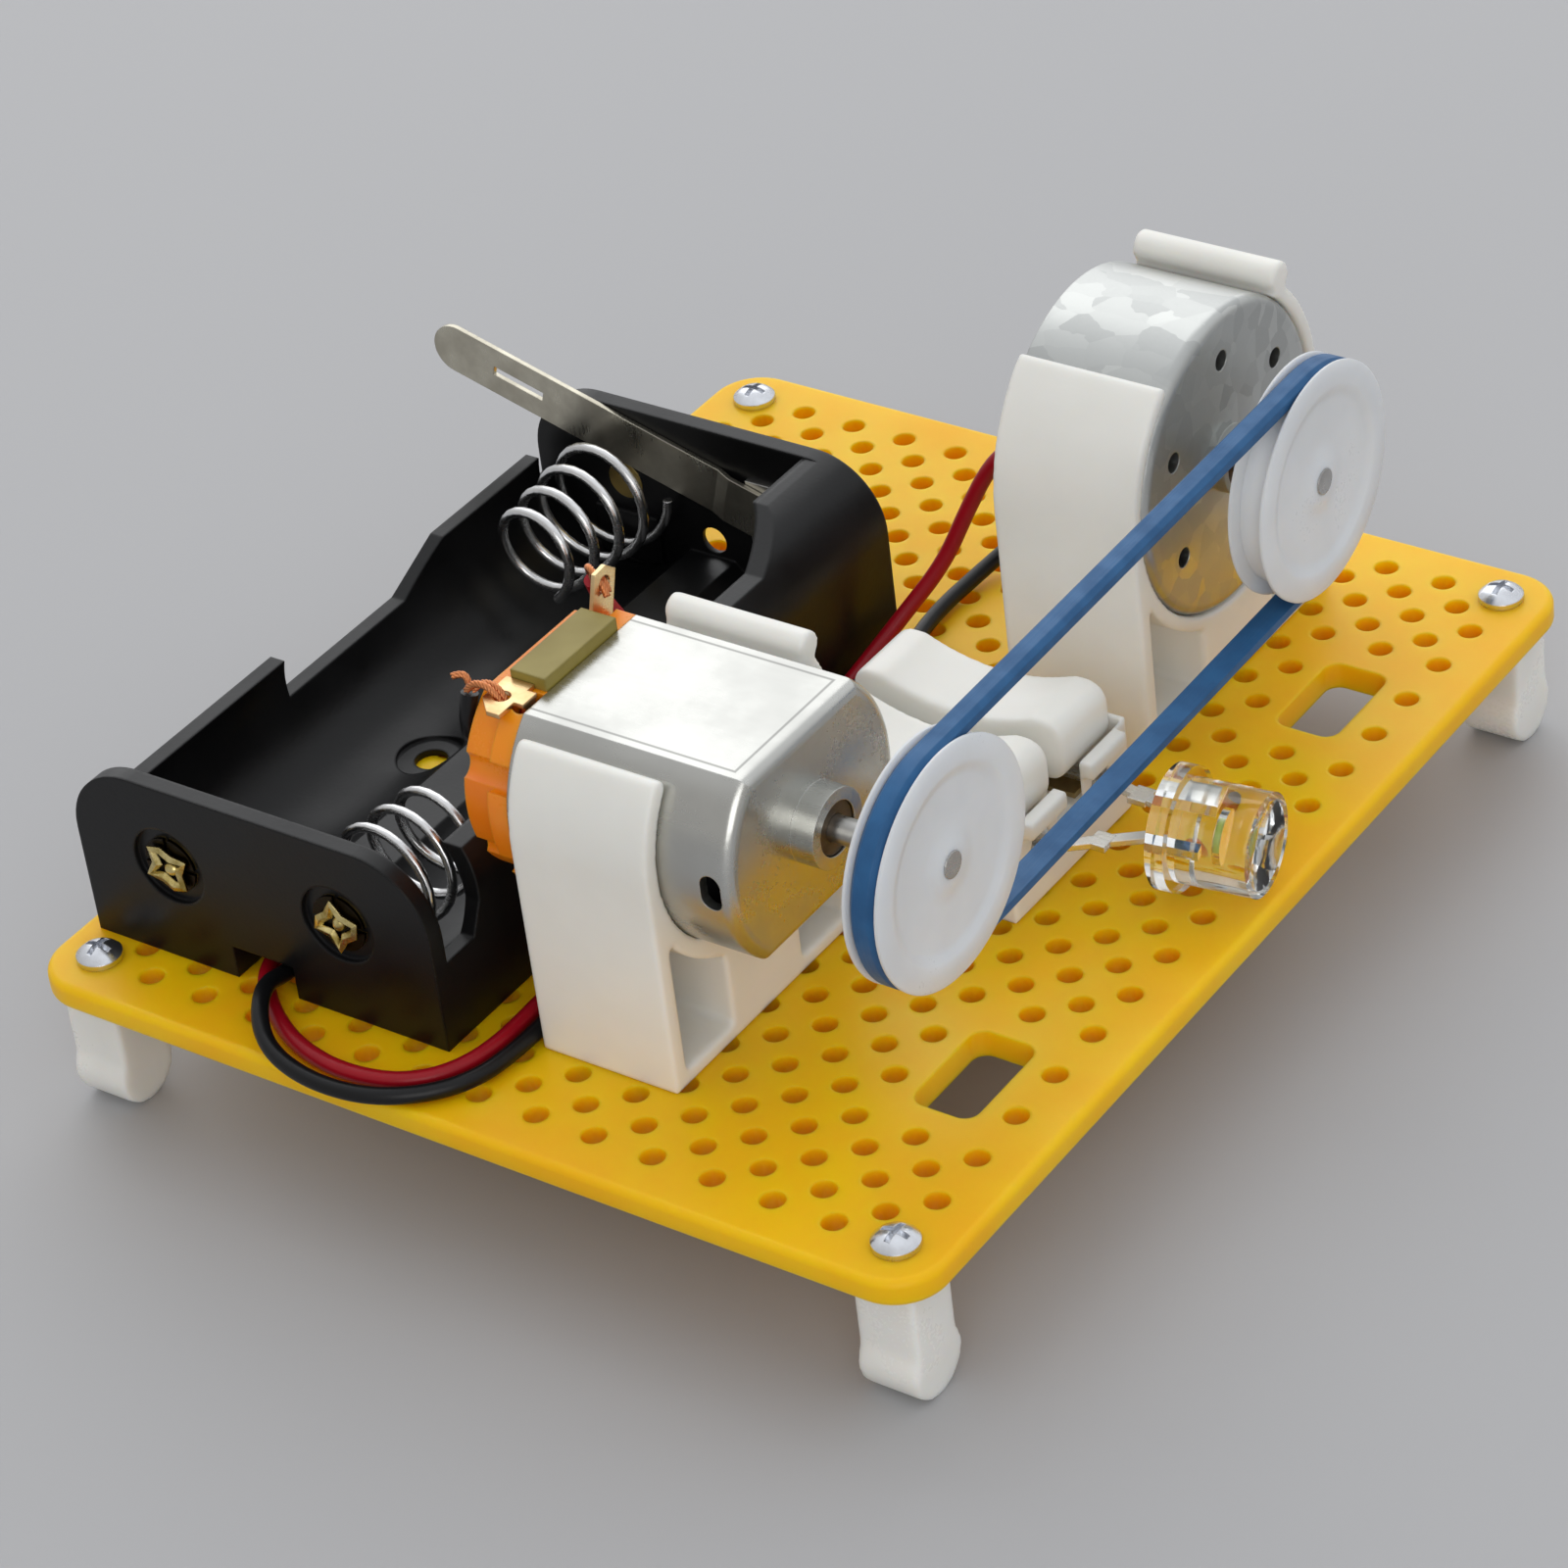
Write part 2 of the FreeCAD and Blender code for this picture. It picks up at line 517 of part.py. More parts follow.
def prism(name, outline, depth, at=ORIGIN, axis="Z", symmetric=False):
    """A body with one closed sketch of straight sides, padded along an axis.

    The outline's points are pairs of expressions. With axis "side" they are Y and Z and the pad
    runs along +X, with "front" they are X and Z and the pad runs along -Y.
    """
    body = doc.addObject("PartDesign::Body", name)
    sketch = body.newObject("Sketcher::SketchObject", name + "_outline")
    plane = [item for item in body.Origin.OriginFeatures if item.Role == "XY_Plane"][0]
    sketch.AttachmentSupport = (plane, "")
    sketch.MapMode = "FlatFace"
    points = [V(value(u), value(v), 0) for u, v in outline]
    count = len(points)
    for index in range(count):
        sketch.addGeometry(Part.LineSegment(points[index], points[(index + 1) % count]), False)
    for index in range(count):
        sketch.addConstraint(Sketcher.Constraint("Coincident", index, 2, (index + 1) % count, 1))
    for index, (point, (u, v)) in enumerate(zip(points, outline)):
        for kind, number, expression in (("DistanceX", point.x, u), ("DistanceY", point.y, v)):
            datum = sketch.addConstraint(Sketcher.Constraint(kind, -1, 1, index, 1, number))
            bind(sketch, f"Constraints[{datum}]", expression)
    pad = body.newObject("PartDesign::Pad", name + "_pad")
    pad.Profile = sketch
    bind(pad, "Length", depth)
    pad.Midplane = symmetric
    return place(body, at, axis)


def node(label, obj):
    """Name a finished sub-part and stand it in the part's frame."""
    obj.Label = label
    x, y, z = PLACES.get(obj.Name, ORIGIN)
    bind(obj, "Placement.Base.x", f"board_x + ({x})")
    bind(obj, "Placement.Base.y", y)
    bind(obj, "Placement.Base.z", f"board_top + ({z})")
    NODES.append(obj)
    return obj


def shaped(label, shape):
    """A sub-part whose shape is worked out from the sheet's values in code."""
    obj = doc.addObject("Part::Feature", label + "_shape")
    obj.Shape = shape
    return node(label, obj)


def add_layout():
    """Make the variable set of derived dimensions."""
    for name, expression in LAYOUT:
        layout.addProperty("App::PropertyFloat", name)
        bind(layout, name, expression)
        doc.recompute()


def rounded_rectangle(half_x, half_y, radius, centre):
    """A closed wire: a rectangle with round corners, flat in XY."""
    plate = Part.makeBox(2 * half_x, 2 * half_y, 1, centre - V(half_x, half_y, 0))
    upright = [edge for edge in plate.Edges if abs(edge.tangentAt(edge.FirstParameter).z) > 0.5]
    plate = plate.makeFillet(radius, upright)
    base = min(plate.Faces, key=lambda face: face.CenterOfMass.z)
    return base.OuterWire


def make_board():
    """The perforated board: a square lattice of holes, its centre holes and four windows."""
    half_x = value("board_length / 2")
    half_y = value("board_width / 2")
    thick = value("board_thick")
    pitch = value("lattice_pitch")
    reach_x = half_x - value("lattice_margin")
    reach_y = half_y - value("lattice_margin")
    radius = value("lattice_hole / 2")
    window = V(value("window_at_x"), value("window_at_y"), 0)
    half_window = V(value("window_x / 2"), value("window_y / 2"), 0)
    low = V(0, 0, -thick)
    wires = [rounded_rectangle(half_x, half_y, value("board_corner"), low)]
    for side_x in (-1, 1):
        for side_y in (-1, 1):
            centre = V(side_x * window.x, side_y * window.y, -thick)
            corner = value("window_corner")
            wires.append(rounded_rectangle(half_window.x, half_window.y, corner, centre))
    steps_x = int(round(2 * reach_x / (pitch / 2)))
    steps_y = int(round(2 * reach_y / (pitch / 2)))
    clear = radius + value("lattice_hole / 4")
    holes = [V(value(x), value(y), -thick) for x, y in screw_places()]
    for column in range(steps_x + 1):
        for line in range(steps_y + 1):
            if (column + line) % 2:
                continue
            hole = V(-reach_x + column * pitch / 2, -reach_y + line * pitch / 2, -thick)
            beside_x = abs(abs(hole.x) - window.x) - half_window.x
            beside_y = abs(abs(hole.y) - window.y) - half_window.y
            beside_hole = min((hole - other).Length for other in holes)
            if max(beside_x, beside_y) < clear or beside_hole < radius + clear:
                continue
            holes.append(hole)
    for hole in holes:
        wires.append(Part.Wire(Part.Circle(hole, V(0, 0, 1), radius).toShape()))
    face = Part.makeFace(wires, "Part::FaceMakerBullseye")
    board = face.extrude(V(0, 0, thick))
    outer = [edge for edge in board.Edges if on_rim(edge, half_x, half_y)]
    shaped("base_board", board.makeFillet(value("board_rim_round"), outer))


def on_rim(edge, half_x, half_y):
    """Whether an edge lies flat on the board's outer rim."""
    middle = edge.valueAt((edge.FirstParameter + edge.LastParameter) / 2)
    margin = value("lattice_margin") * 0.6
    flat = edge.BoundBox.ZLength < 1e-6
    return flat and (abs(middle.x) > half_x - margin or abs(middle.y) > half_y - margin)


def screw(name, length, at, down=True):
    """A pan-head screw with a cross recess. Its head stands up, or hangs down if down is False."""
    dome = "((screw_head ^ 2 + (screw_head_high - screw_head_side) ^ 2)" \
           " / (2 * (screw_head_high - screw_head_side)))"
    disc = cylinder(name + "_disc", "screw_head", "screw_head_high")
    cap = sphere(name + "_dome", dome, ("0", "0", f"screw_head_high - {dome}"))
    head = common(name + "_head", disc, cap)
    shank = cylinder(name + "_shank", "screw_shank", length, ("0", "0", f"-({length})"))
    slots = []
    for number, (long, wide) in enumerate((("screw_slot_long", "screw_slot"),
                                           ("screw_slot", "screw_slot_long"))):
        corner = (f"-{long} / 2", f"-{wide} / 2", "screw_head_high - screw_slot_deep")
        slots.append(box(f"{name}_slot_{number}", (long, wide, "screw_head_high"), corner))
    whole = cut(name, fuse(name + "_body", head, shank), *slots)
    whole.Placement = FreeCAD.Placement(V(), FreeCAD.Rotation(V(1, 0, 0), 0 if down else 180))
    for direction, expression in zip("xyz", at):
        bind(whole, f"Placement.Base.{direction}", expression)
    return whole


def corners():
    """The four corner holes of the board, as names and signed expressions."""
    for side_y, name_y in (("-", "near"), ("", "far")):
        for side_x, name_x in (("-", "left"), ("", "right")):
            x = f"{side_x}(board_length / 2 - lattice_margin)"
            y = f"{side_y}(board_width / 2 - lattice_margin)"
            yield f"{name_y}_{name_x}", x, y


def make_feet():
    """Four feet, each a post on a round bar, and the screws that hold them."""
    screws = []
    for name, x, y in corners():
        post_low = "-board_top + foot_bar / 2"
        post = box(f"{name}_post", ("foot_length", "foot_post", "foot_height - foot_bar / 2"),
                   (f"{x} - foot_length / 2", f"{y} - foot_post / 2", post_low))
        bar = cylinder(f"{name}_bar", "foot_bar / 2", "foot_length",
                       (f"{x} - foot_length / 2", y, "-board_top + foot_bar / 2 - foot_flat"), "X")
        floor = box(f"{name}_floor", ("2 * foot_length", "2 * foot_bar", "foot_bar"),
                    (f"{x} - foot_length", f"{y} - foot_bar", "-board_top - foot_bar"))
        pilot = cylinder(f"{name}_pilot", "screw_shank + pilot_clear", "screw_length",
                         (x, y, "-screw_length - pilot_clear"))
        body = fuse(f"{name}_foot_body", post, bar)
        node(f"foot_{name}", cut(f"{name}_foot", body, floor, pilot))
        screws.append(screw(f"{name}_screw", "screw_length", (x, y, "0")))
    node("foot_screws", group("foot_screws_group", *screws))


FIXINGS = {
    # screws driven from below, each in the middle of what it holds; all lie on the lattice
    "box_a": ("box_x + box_fix_x", "box_near + box_fix_y"),
    "box_b": ("box_x + box_fix_x - lattice_pitch / 2",
              "box_near + box_fix_y + 4.5 * lattice_pitch"),
    "drive_a": ("drive_mount_x + drive_fix_x", "drive_y + drive_fix_y"),
    "drive_b": ("drive_mount_x + drive_fix_x + lattice_pitch",
                "drive_y + drive_fix_y - lattice_pitch"),
    "gen_a": ("gen_mount_x + gen_fix_x", "gen_y + gen_fix_y"),
    "gen_b": ("gen_mount_x + gen_fix_x", "gen_y + gen_fix_y + lattice_pitch"),
    "block_a": ("block_x + block_fix_x", "block_y + block_fix_y"),
    "block_b": ("block_x + block_fix_x + 2.5 * lattice_pitch",
                "block_y + block_fix_y - lattice_pitch / 2"),
}


def screw_places():
    """Where screws go through the board, as pairs of expressions."""
    return list(FIXINGS.values()) + [(x, y) for _, x, y in corners()]


def fixing_pilot(name):
    """The pilot hole of a screw driven from below, in the piece above the board."""
    x, y = FIXINGS[name]
    return cylinder(name + "_pilot", "screw_shank + pilot_clear",
                    "fixing_length - board_thick + pilot_clear", (x, y, "0"))


def make_fixings():
    """The screws under the board."""
    screws = []
    for name, (x, y) in FIXINGS.items():
        screws.append(screw(name + "_fixing", "fixing_length", (x, y, "-board_thick"), False))
    node("board_screws", group("board_screws_group", *screws))


def make_battery_box():
    """The open two-cell box: cradles, end walls with rivet recesses, stepped side walls."""
    low = box("box_low", ("box_wide", "box_long", "box_high - box_round"),
              ("box_x - box_wide / 2", "box_near", "0"))
    high = box("box_top", ("box_wide - 2 * box_round", "box_long", "box_high"),
               ("box_x - box_wide / 2 + box_round", "box_near", "0"))
    rounds = []
    for name, side in (("left", "-"), ("right", "+")):
        x = f"box_x {side} (box_wide / 2 - box_round)"
        rounds.append(cylinder(f"box_{name}_round", "box_round", "box_long",
                               (x, "box_near", "box_high - box_round"), "Y"))
    outside = fuse("box_outside", low, high, *rounds)
    inner = "box_long - 2 * box_wall"
    tools = []
    for name in ("left_cell", "right_cell"):
        tools.append(cylinder(f"box_{name}", "cradle", inner, (name, "near_face", "cell_z"), "Y"))
        for wall, y in (("near", "box_near"), ("far", "box_far - recess_deep")):
            tools.append(cylinder(f"box_{name}_{wall}_recess", "recess_r", "recess_deep",
                                  (name, y, "rivet_z"), "Y"))
            y = "box_near" if wall == "near" else "far_face"
            tools.append(cylinder(f"box_{name}_{wall}_rivet", "rivet_shank + rivet_clear",
                                  "box_wall", (name, y, "rivet_z"), "Y"))
    tools.append(cylinder("box_flush_head", "rivet_head + rivet_clear", "rivet_head_thick",
                          ("left_cell", "far_face", "rivet_z"), "Y"))
    tools.append(box("box_middle", ("cell_pitch", inner, "box_high"),
                     ("left_cell", "near_face", "ridge_high")))
    above = "box_high + 1"
    left = [("box_wall", above), ("box_wall", "wall_near"), ("gap_from", "wall_near"),
            ("gap_from", "wall_low"), ("gap_to", "wall_low"), ("gap_to + gap_ramp", "wall_far"),
            ("box_long - box_wall - jaw_wide", "wall_far"),
            ("box_long - box_wall - jaw_wide", "jaw_z"),
            ("box_long - box_wall", "jaw_z"), ("box_long - box_wall", above)]
    tools.append(prism("box_left_profile", left, "box_wide / 2 - cell_pitch / 2 + 1",
                       ("box_x - box_wide / 2 - 1", "box_near", "0"), "side"))
    right = [("box_wall", above), ("box_wall", "jaw_z"), ("notch_to", "jaw_z"),
             ("notch_to + notch_step", "wall_far"),
             ("notch_to + notch_step + notch_curl", "wall_right"),
             ("shoulder_from", "wall_right"), ("shoulder_to", "wall_shoulder"),
             ("box_long - box_wall", "wall_shoulder"), ("box_long - box_wall", above)]
    tools.append(prism("box_right_profile", right, "box_wide / 2 - cell_pitch / 2 + 1",
                       ("right_cell", "box_near", "0"), "side"))
    for name, deep, high in (("way", "lead_way_deep", "lead_way_high"),
                             ("gate", "box_wall", "lead_gate_high")):
        tools.append(box(f"box_lead_{name}", ("lead_way_wide", deep, high),
                         ("box_x + lead_way_at - lead_way_wide / 2", "box_near", "0")))
    for name, radius, level in (("hole", "drain_r", "0"), ("seat", "drain_seat_r", "drain_seat_z")):
        tools.append(cylinder(f"box_drain_{name}", radius, "box_high",
                              ("left_cell + drain_x", "box_near + drain_y", level)))
    for name, radius, start in (("hole", "wall_hole_r", "far_face"),
                                ("seat", "2 * wall_hole_r", "far_face + wall_hole_thick")):
        tools.append(cylinder(f"box_wall_{name}", radius, "box_wall",
                              ("box_x + wall_hole_at", start, "wall_hole_z"), "Y"))
    tools += [fixing_pilot("box_a"), fixing_pilot("box_b")]
    node("battery_box", cut("battery_box_solid", outside, *tools))


def contact_plate(name, x, y):
    """A square contact plate with its rivet hole, flat against an end wall."""
    plate = box(name + "_sheet", ("2 * contact_half", "contact_thick", "2 * contact_half"),
                (f"{x} - contact_half", y, "rivet_z - contact_half"))
    hole = cylinder(name + "_hole", "rivet_shank + rivet_clear", "contact_thick",
                    (x, y, "rivet_z"), "Y")
    return cut(name + "_plate", plate, hole)


def rivet(name, x, inner_y, outer_y, inner_side):
    """A brass rivet through an end wall, its outer end splayed into four claws."""
    if inner_side == "far":
        shank_y, shank_long = outer_y, f"{inner_y} - ({outer_y})"
        head_y = inner_y
        claw_y = f"{outer_y} - rivet_claw_thick"
    else:
        shank_y, shank_long = inner_y, f"{outer_y} - ({inner_y})"
        head_y = f"{inner_y} - rivet_head_thick"
        claw_y = outer_y
    shank = cylinder(name + "_shank", "rivet_shank", shank_long, (x, shank_y, "rivet_z"), "Y")
    head = cylinder(name + "_head", "rivet_head", "rivet_head_thick", (x, head_y, "rivet_z"), "Y")
    claw = cylinder(name + "_claw", "rivet_claw", "rivet_claw_thick", (x, claw_y, "rivet_z"), "Y")
    slits = []
    half, long = "-claw_slit / 2", "rivet_claw"
    for side, start in (("plus", "claw_root"), ("minus", f"-claw_root - {long}")):
        slits.append(box(f"{name}_{side}_x_slit", (long, "rivet_claw_thick", "claw_slit"),
                         (f"{x} + {start}", claw_y, f"rivet_z + {half}")))
        slits.append(box(f"{name}_{side}_z_slit", ("claw_slit", "rivet_claw_thick", long),
                         (f"{x} + {half}", claw_y, f"rivet_z + {start}")))
    star = cut(name + "_star", claw, *slits)
    return fuse(name, shank, head, star)


def make_contacts():
    """Contact plates, springs, the far spring's tab and the rivets of the battery box."""
    node("near_flat_contact", contact_plate("near_flat", "left_cell", "near_face"))
    node("near_spring_plate", contact_plate("near_seat", "right_cell", "near_face"))
    node("pivot_contact", contact_plate("pivot_plate", "right_cell", "far_face - contact_thick"))
    recess_near = "box_near + recess_deep"
    recess_far = "box_far - recess_deep"
    near_head = "near_face + contact_thick + rivet_clear"
    rivets = [
        rivet("near_left_rivet", "left_cell", near_head, recess_near, "far"),
        rivet("near_right_rivet", "right_cell", near_head, recess_near, "far"),
        rivet("far_left_rivet", "left_cell", "far_face + rivet_head_thick", recess_far, "near"),
    ]
    node("contact_rivets", group("contact_rivet_group", *rivets))
    pivot_head = "blade_y - rivet_clear"
    node("blade_rivet", rivet("pivot_rivet", "right_cell", pivot_head, recess_far, "near"))
    tab_y = "blade_y + blade_set - rivet_clear"
    tab_low = "cell_z - sqrt(cradle ^ 2 - tab_half ^ 2) + pilot_clear"
    node("far_spring_tab", box("far_tab", ("2 * tab_half", f"far_face - ({tab_y})",
                                           f"tab_high - ({tab_low})"),
                               ("left_cell - tab_half", tab_y, tab_low)))
    near_start = "near_face + contact_thick + spring_wire + pilot_clear"
    make_spring("near_spring", "right_cell", near_start, 1)
    make_spring("far_spring", "left_cell", f"{tab_y} - spring_wire - pilot_clear", -1)


def make_spring(label, x, start, side):
    """A conical contact spring that stands on an end wall and narrows towards the cell.

    Its wire follows the cone in short straight runs. The side is 1 where it grows along +Y.
    """
    foot = V(value(x), value(start), value("rivet_z"))
    turns = value("spring_long / spring_pitch")
    count = round(turns * value("spring_runs"))
    points = []
    for number in range(count + 1):
        grown = value("spring_long") * number / count
        radius = value("spring_base") - grown * math.tan(math.radians(value("spring_cone")))
        angle = side * 2 * math.pi * turns * number / count
        points.append(foot + V(radius * math.cos(angle), side * grown, radius * math.sin(angle)))
    section = Part.Wire(Part.Circle(points[0], points[1] - points[0],
                                    value("spring_wire")).toShape())
    shaped(label, Part.makePolygon(points).makePipeShell([section], True, False, 1))


def make_blade():
    """The knife switch blade: a rounded strip with a joggle and a slit, hinged on its rivet."""
    half = "blade_wide / 2"
    long = "(blade_long - blade_wide / 2)"
    deep = "blade_thick + blade_set + 1"
    strip = box("blade_strip", (long, deep, "blade_wide"), (f"-{long}", "-0.5", f"-{half}"))
    ends = [cylinder("blade_tip", half, deep, (f"-{long}", "-0.5", "0"), "Y"),
            cylinder("blade_root", half, deep, ("0", "-0.5", "0"), "Y")]
    outline = fuse("blade_outline", strip, *ends)
    path = [("blade_wide", "0"), ("blade_wide", "blade_thick"), ("-joggle_from", "blade_thick"),
            ("-joggle_to", "blade_thick + blade_set"), ("-blade_long", "blade_thick + blade_set"),
            ("-blade_long", "blade_set"), ("-joggle_to", "blade_set"), ("-joggle_from", "0")]
    ribbon = prism("blade_ribbon", path, "blade_wide", ("0", "0", f"-{half}"))
    sheet_piece = common("blade_sheet", outline, ribbon)
    hole = cylinder("blade_hole", "rivet_shank + rivet_clear", deep, ("0", "-0.5", "0"), "Y")
    slit = box("blade_slit", ("blade_slit_to - blade_slit_from", deep, "blade_slit_wide"),
               ("-blade_slit_to", "-0.5", "-blade_slit_wide / 2"))
    blade = cut("blade", sheet_piece, hole, slit)
    place(blade, ("right_cell", "blade_y", "rivet_z"), turn=(V(0, 1, 0), "blade_tilt"))
    node("switch_blade", blade)


def can_profile(name, radius, flat, start, length):
    """A round bar with flats above and below, along +X from the drive motor's rear."""
    bar = cylinder(name + "_bar", radius, length, (start, "drive_y", "drive_z"), "X")
    slab = box(name + "_slab", (length, f"2 * ({radius})", f"2 * ({flat})"),
               (start, f"drive_y - ({radius})", f"drive_z - ({flat})"))
    return common(name, bar, slab)


def front_edges(obj, x, reach):
    """Numbers of the edges on the plane at x that lie further than reach from its middle."""
    numbers = []
    middle = V(x, obj.Shape.BoundBox.Center.y, obj.Shape.BoundBox.Center.z)
    for number, edge in enumerate(obj.Shape.Edges, start=1):
        flat = edge.BoundBox.XLength < 1e-6 and abs(edge.BoundBox.XMin - x) < 1e-6
        if flat and max((vertex.Point - middle).Length for vertex in edge.Vertexes) > reach:
            numbers.append(number)
    return numbers


def rounded_front(name, base, x, radius, reach):
    """The base with the outer edge of its front rounded."""
    doc.recompute()
    fillet = doc.addObject("Part::Fillet", name)
    fillet.Base = base
    size = value(radius)
    fillet.Edges = [(number, size, size) for number in front_edges(base, value(x), value(reach))]
    return fillet


def make_drive_motor():
    """The flat-sided can motor: can, end cap, pad, lugs, magnets, bushings, rotor and brushes."""
    outside = can_profile("drive_outside", "drive_can_r", "drive_flat", "drive_x", "drive_long")
    rounded = rounded_front("drive_rounded", outside, "drive_front", "drive_front_round",
                            "drive_flat - 0.1")
    boss = cylinder("drive_boss", "drive_boss_r", "drive_boss_long + drive_wall",
                    ("drive_front - drive_wall", "drive_y", "drive_z"), "X")
    hollow = can_profile("drive_hollow", "drive_can_r - drive_wall", "drive_flat - drive_wall",
                         "drive_x", "drive_long - drive_wall")
    bore = cylinder("drive_bore", "bush_r + seat_clear", "drive_boss_long + drive_wall",
                    ("drive_front - drive_wall", "drive_y", "drive_z"), "X")
    vent = fuse("drive_vent",
                box("drive_vent_mid", ("vent_wide", "3 * drive_can_r", "vent_long - vent_wide"),
                    ("drive_front - vent_back - vent_wide / 2", "drive_y - 1.5 * drive_can_r",
                     "drive_z - (vent_long - vent_wide) / 2")),
                *[cylinder(f"drive_vent_{name}", "vent_wide / 2", "3 * drive_can_r",
                           ("drive_front - vent_back", "drive_y - 1.5 * drive_can_r",
                            f"drive_z {sign} (vent_long - vent_wide) / 2"), "Y")
                  for name, sign in (("low", "-"), ("high", "+"))])
    can = cut("drive_can", fuse("drive_can_body", rounded, boss), hollow, bore, vent)
    node("drive_motor_can", can)
    make_drive_cap()
    make_magnets()
    bushings = []
    for name, start, long in (("front", "drive_front - drive_wall",
                               "drive_boss_long + drive_wall - bush_back"),
                              ("rear", "drive_x - drive_cap_long",
                               "drive_cap_wall + cap_seat_long")):
        sleeve = cylinder(f"drive_{name}_sleeve", "bush_r", long, (start, "drive_y", "drive_z"), "X")
        hole = cylinder(f"drive_{name}_hole", "drive_shaft_r + bush_clear", long,
                        (start, "drive_y", "drive_z"), "X")
        bushings.append(cut(f"drive_{name}_bushing", sleeve, hole))
    node("drive_bushings", group("drive_bushing_pair", *bushings))
    node("drive_shaft", cylinder("drive_shaft_bar", "drive_shaft_r",
                                 "shaft_end - drive_x + drive_cap_long - shaft_back",
                                 ("drive_x - drive_cap_long + shaft_back", "drive_y",
                                  "drive_z"), "X"))
    make_rotor("drive", "drive", "drive_x - drive_comm_back")


def make_drive_cap():
    """The moulded end cap with its bearing seat, the pad on top and the two soldering lugs."""
    rear = "drive_x - drive_cap_long"
    band = can_profile("cap_band", "drive_can_r", "drive_flat", "drive_x - drive_cap_band",
                       "drive_cap_band")
    back = can_profile("cap_back", "drive_cap_r", "drive_flat", rear, "drive_cap_long")
    hollow = can_profile("cap_hollow", "drive_cap_r - drive_cap_wall",
                         "drive_flat - drive_cap_wall", f"{rear} + drive_cap_wall",
                         "drive_cap_long")
    seat = cylinder("cap_seat", "bush_r + drive_cap_wall", "drive_cap_wall + cap_seat_long",
                    (rear, "drive_y", "drive_z"), "X")
    bore = cylinder("cap_bore", "bush_r + seat_clear", "drive_cap_long",
                    (rear, "drive_y", "drive_z"), "X")
    scallops = []
    for number, angle in enumerate((160, 205, 335, 20)):
        y = f"drive_y + (drive_cap_r + scallop_out) * cos({angle})"
        z = f"drive_z + (drive_cap_r + scallop_out) * sin({angle})"
        scallops.append(cylinder(f"cap_scallop_{number}", "scallop_r", "drive_cap_long",
                                 (rear, y, z), "X"))
    pad_seat = box("cap_pad_seat", ("drive_cap_long", "pad_wide", "pad_thick"),
                   ("drive_x - 3 * seat_clear - pad_long", "drive_y + pad_shift - pad_wide / 2",
                    "drive_z + drive_flat + pad_proud - pad_thick"))
    sockets = lug_sockets()
    shell = cut("cap_shell", fuse("cap_outside", band, back), hollow, pad_seat, *scallops)
    cap = cut("drive_cap", fuse("cap_body", shell, seat), bore, *sockets)
    node("drive_end_cap", cap)
    node("cap_pad", box("cap_pad_block", ("pad_long", "pad_wide", "pad_thick"),
                        ("drive_x - 2 * seat_clear - pad_long",
                        "drive_y + pad_shift - pad_wide / 2",
                         "drive_z + drive_flat + pad_proud - pad_thick")))
    make_lugs()


LUGS = {
    # root of each lug from the motor's axis: behind the can, across, up
    "near": ("near_lug_back", "-near_lug_out", "drive_flat + near_lug_up"),
    "far": ("far_lug_back", "far_lug_out", "drive_flat - far_lug_down"),
}
LUG_TURNS = {
    # the near lug is folded down flat, back over the cap, and the far one leans out a little
    "near": FreeCAD.Rotation(V(0, 1, 0), -90),
    "far": FreeCAD.Rotation(V(1, 0, 0), -17),
}
LUG_OUTLINES = {
    # across and along each lug, from its root; the near one is a tab with a tongue across it
    "near": [("-near_lug_tab / 2", "-lug_thick / 2"), ("near_lug_tab / 2", "-lug_thick / 2"),
             ("near_lug_tab / 2", "near_lug_reach - lug_wide"),
             ("near_lug_in", "near_lug_reach - lug_wide"), ("near_lug_in", "near_lug_reach"),
             ("near_lug_cut - near_lug_tip", "near_lug_reach"),
             ("-near_lug_tip", "near_lug_reach - near_lug_cut"),
             ("-near_lug_tip", "near_lug_reach - lug_wide"),
             ("-near_lug_tab / 2", "near_lug_reach - lug_wide")],
    "far": [("-lug_wide / 2", "-lug_thick / 2"), ("lug_wide / 2", "-lug_thick / 2"),
            ("lug_wide / 2", "lug_long - lug_point"), ("0", "lug_long"),
            ("-lug_wide / 2", "lug_long - lug_point")],
}
LUG_EYES = {
    "near": ("-near_lug_eye", "near_lug_reach - lug_wide / 2"),
    "far": ("0", "lug_long - lug_eye"),
}


def lug_at(name):
    """Where a lug's root stands."""
    back, across, up = LUGS[name]
    return f"drive_x - {back}", f"drive_y + ({across})", f"drive_z + {up}"


def lug_sockets():
    """Round sockets in the end cap that the lugs stand in."""
    sockets = []
    for name in LUGS:
        x, y, z = lug_at(name)
        sockets.append(cylinder(f"cap_{name}_socket", "lug_wide / 2 + seat_clear", "lug_socket",
                                (x, y, f"{z} - lug_root")))
    return sockets


def make_lugs():
    """Two brass lugs: a root in the cap, then a folded leaf with a pointed, holed end."""
    lugs = []
    for name in LUGS:
        root = box(f"{name}_lug_root", ("lug_thick", "lug_root_wide", "lug_root"),
                   ("-lug_thick / 2", "-lug_root_wide / 2", "-lug_root"))
        blade = prism(f"{name}_lug_blade", LUG_OUTLINES[name], "lug_thick",
                      ("-lug_thick / 2", "0", "0"), "side")
        eye = cylinder(f"{name}_lug_hole", "lug_hole", "lug_thick",
                       ("-lug_thick / 2", *LUG_EYES[name]), "X")
        leaf = cut(f"{name}_lug_leaf", blade, eye)
        leaf.Placement = FreeCAD.Placement(V(), LUG_TURNS[name])
        lug = fuse(f"{name}_lug", root, leaf)
        for direction, expression in zip("xyz", lug_at(name)):
            bind(lug, f"Placement.Base.{direction}", expression)
        lugs.append(lug)
    node("drive_lugs", group("drive_lug_pair", *lugs))


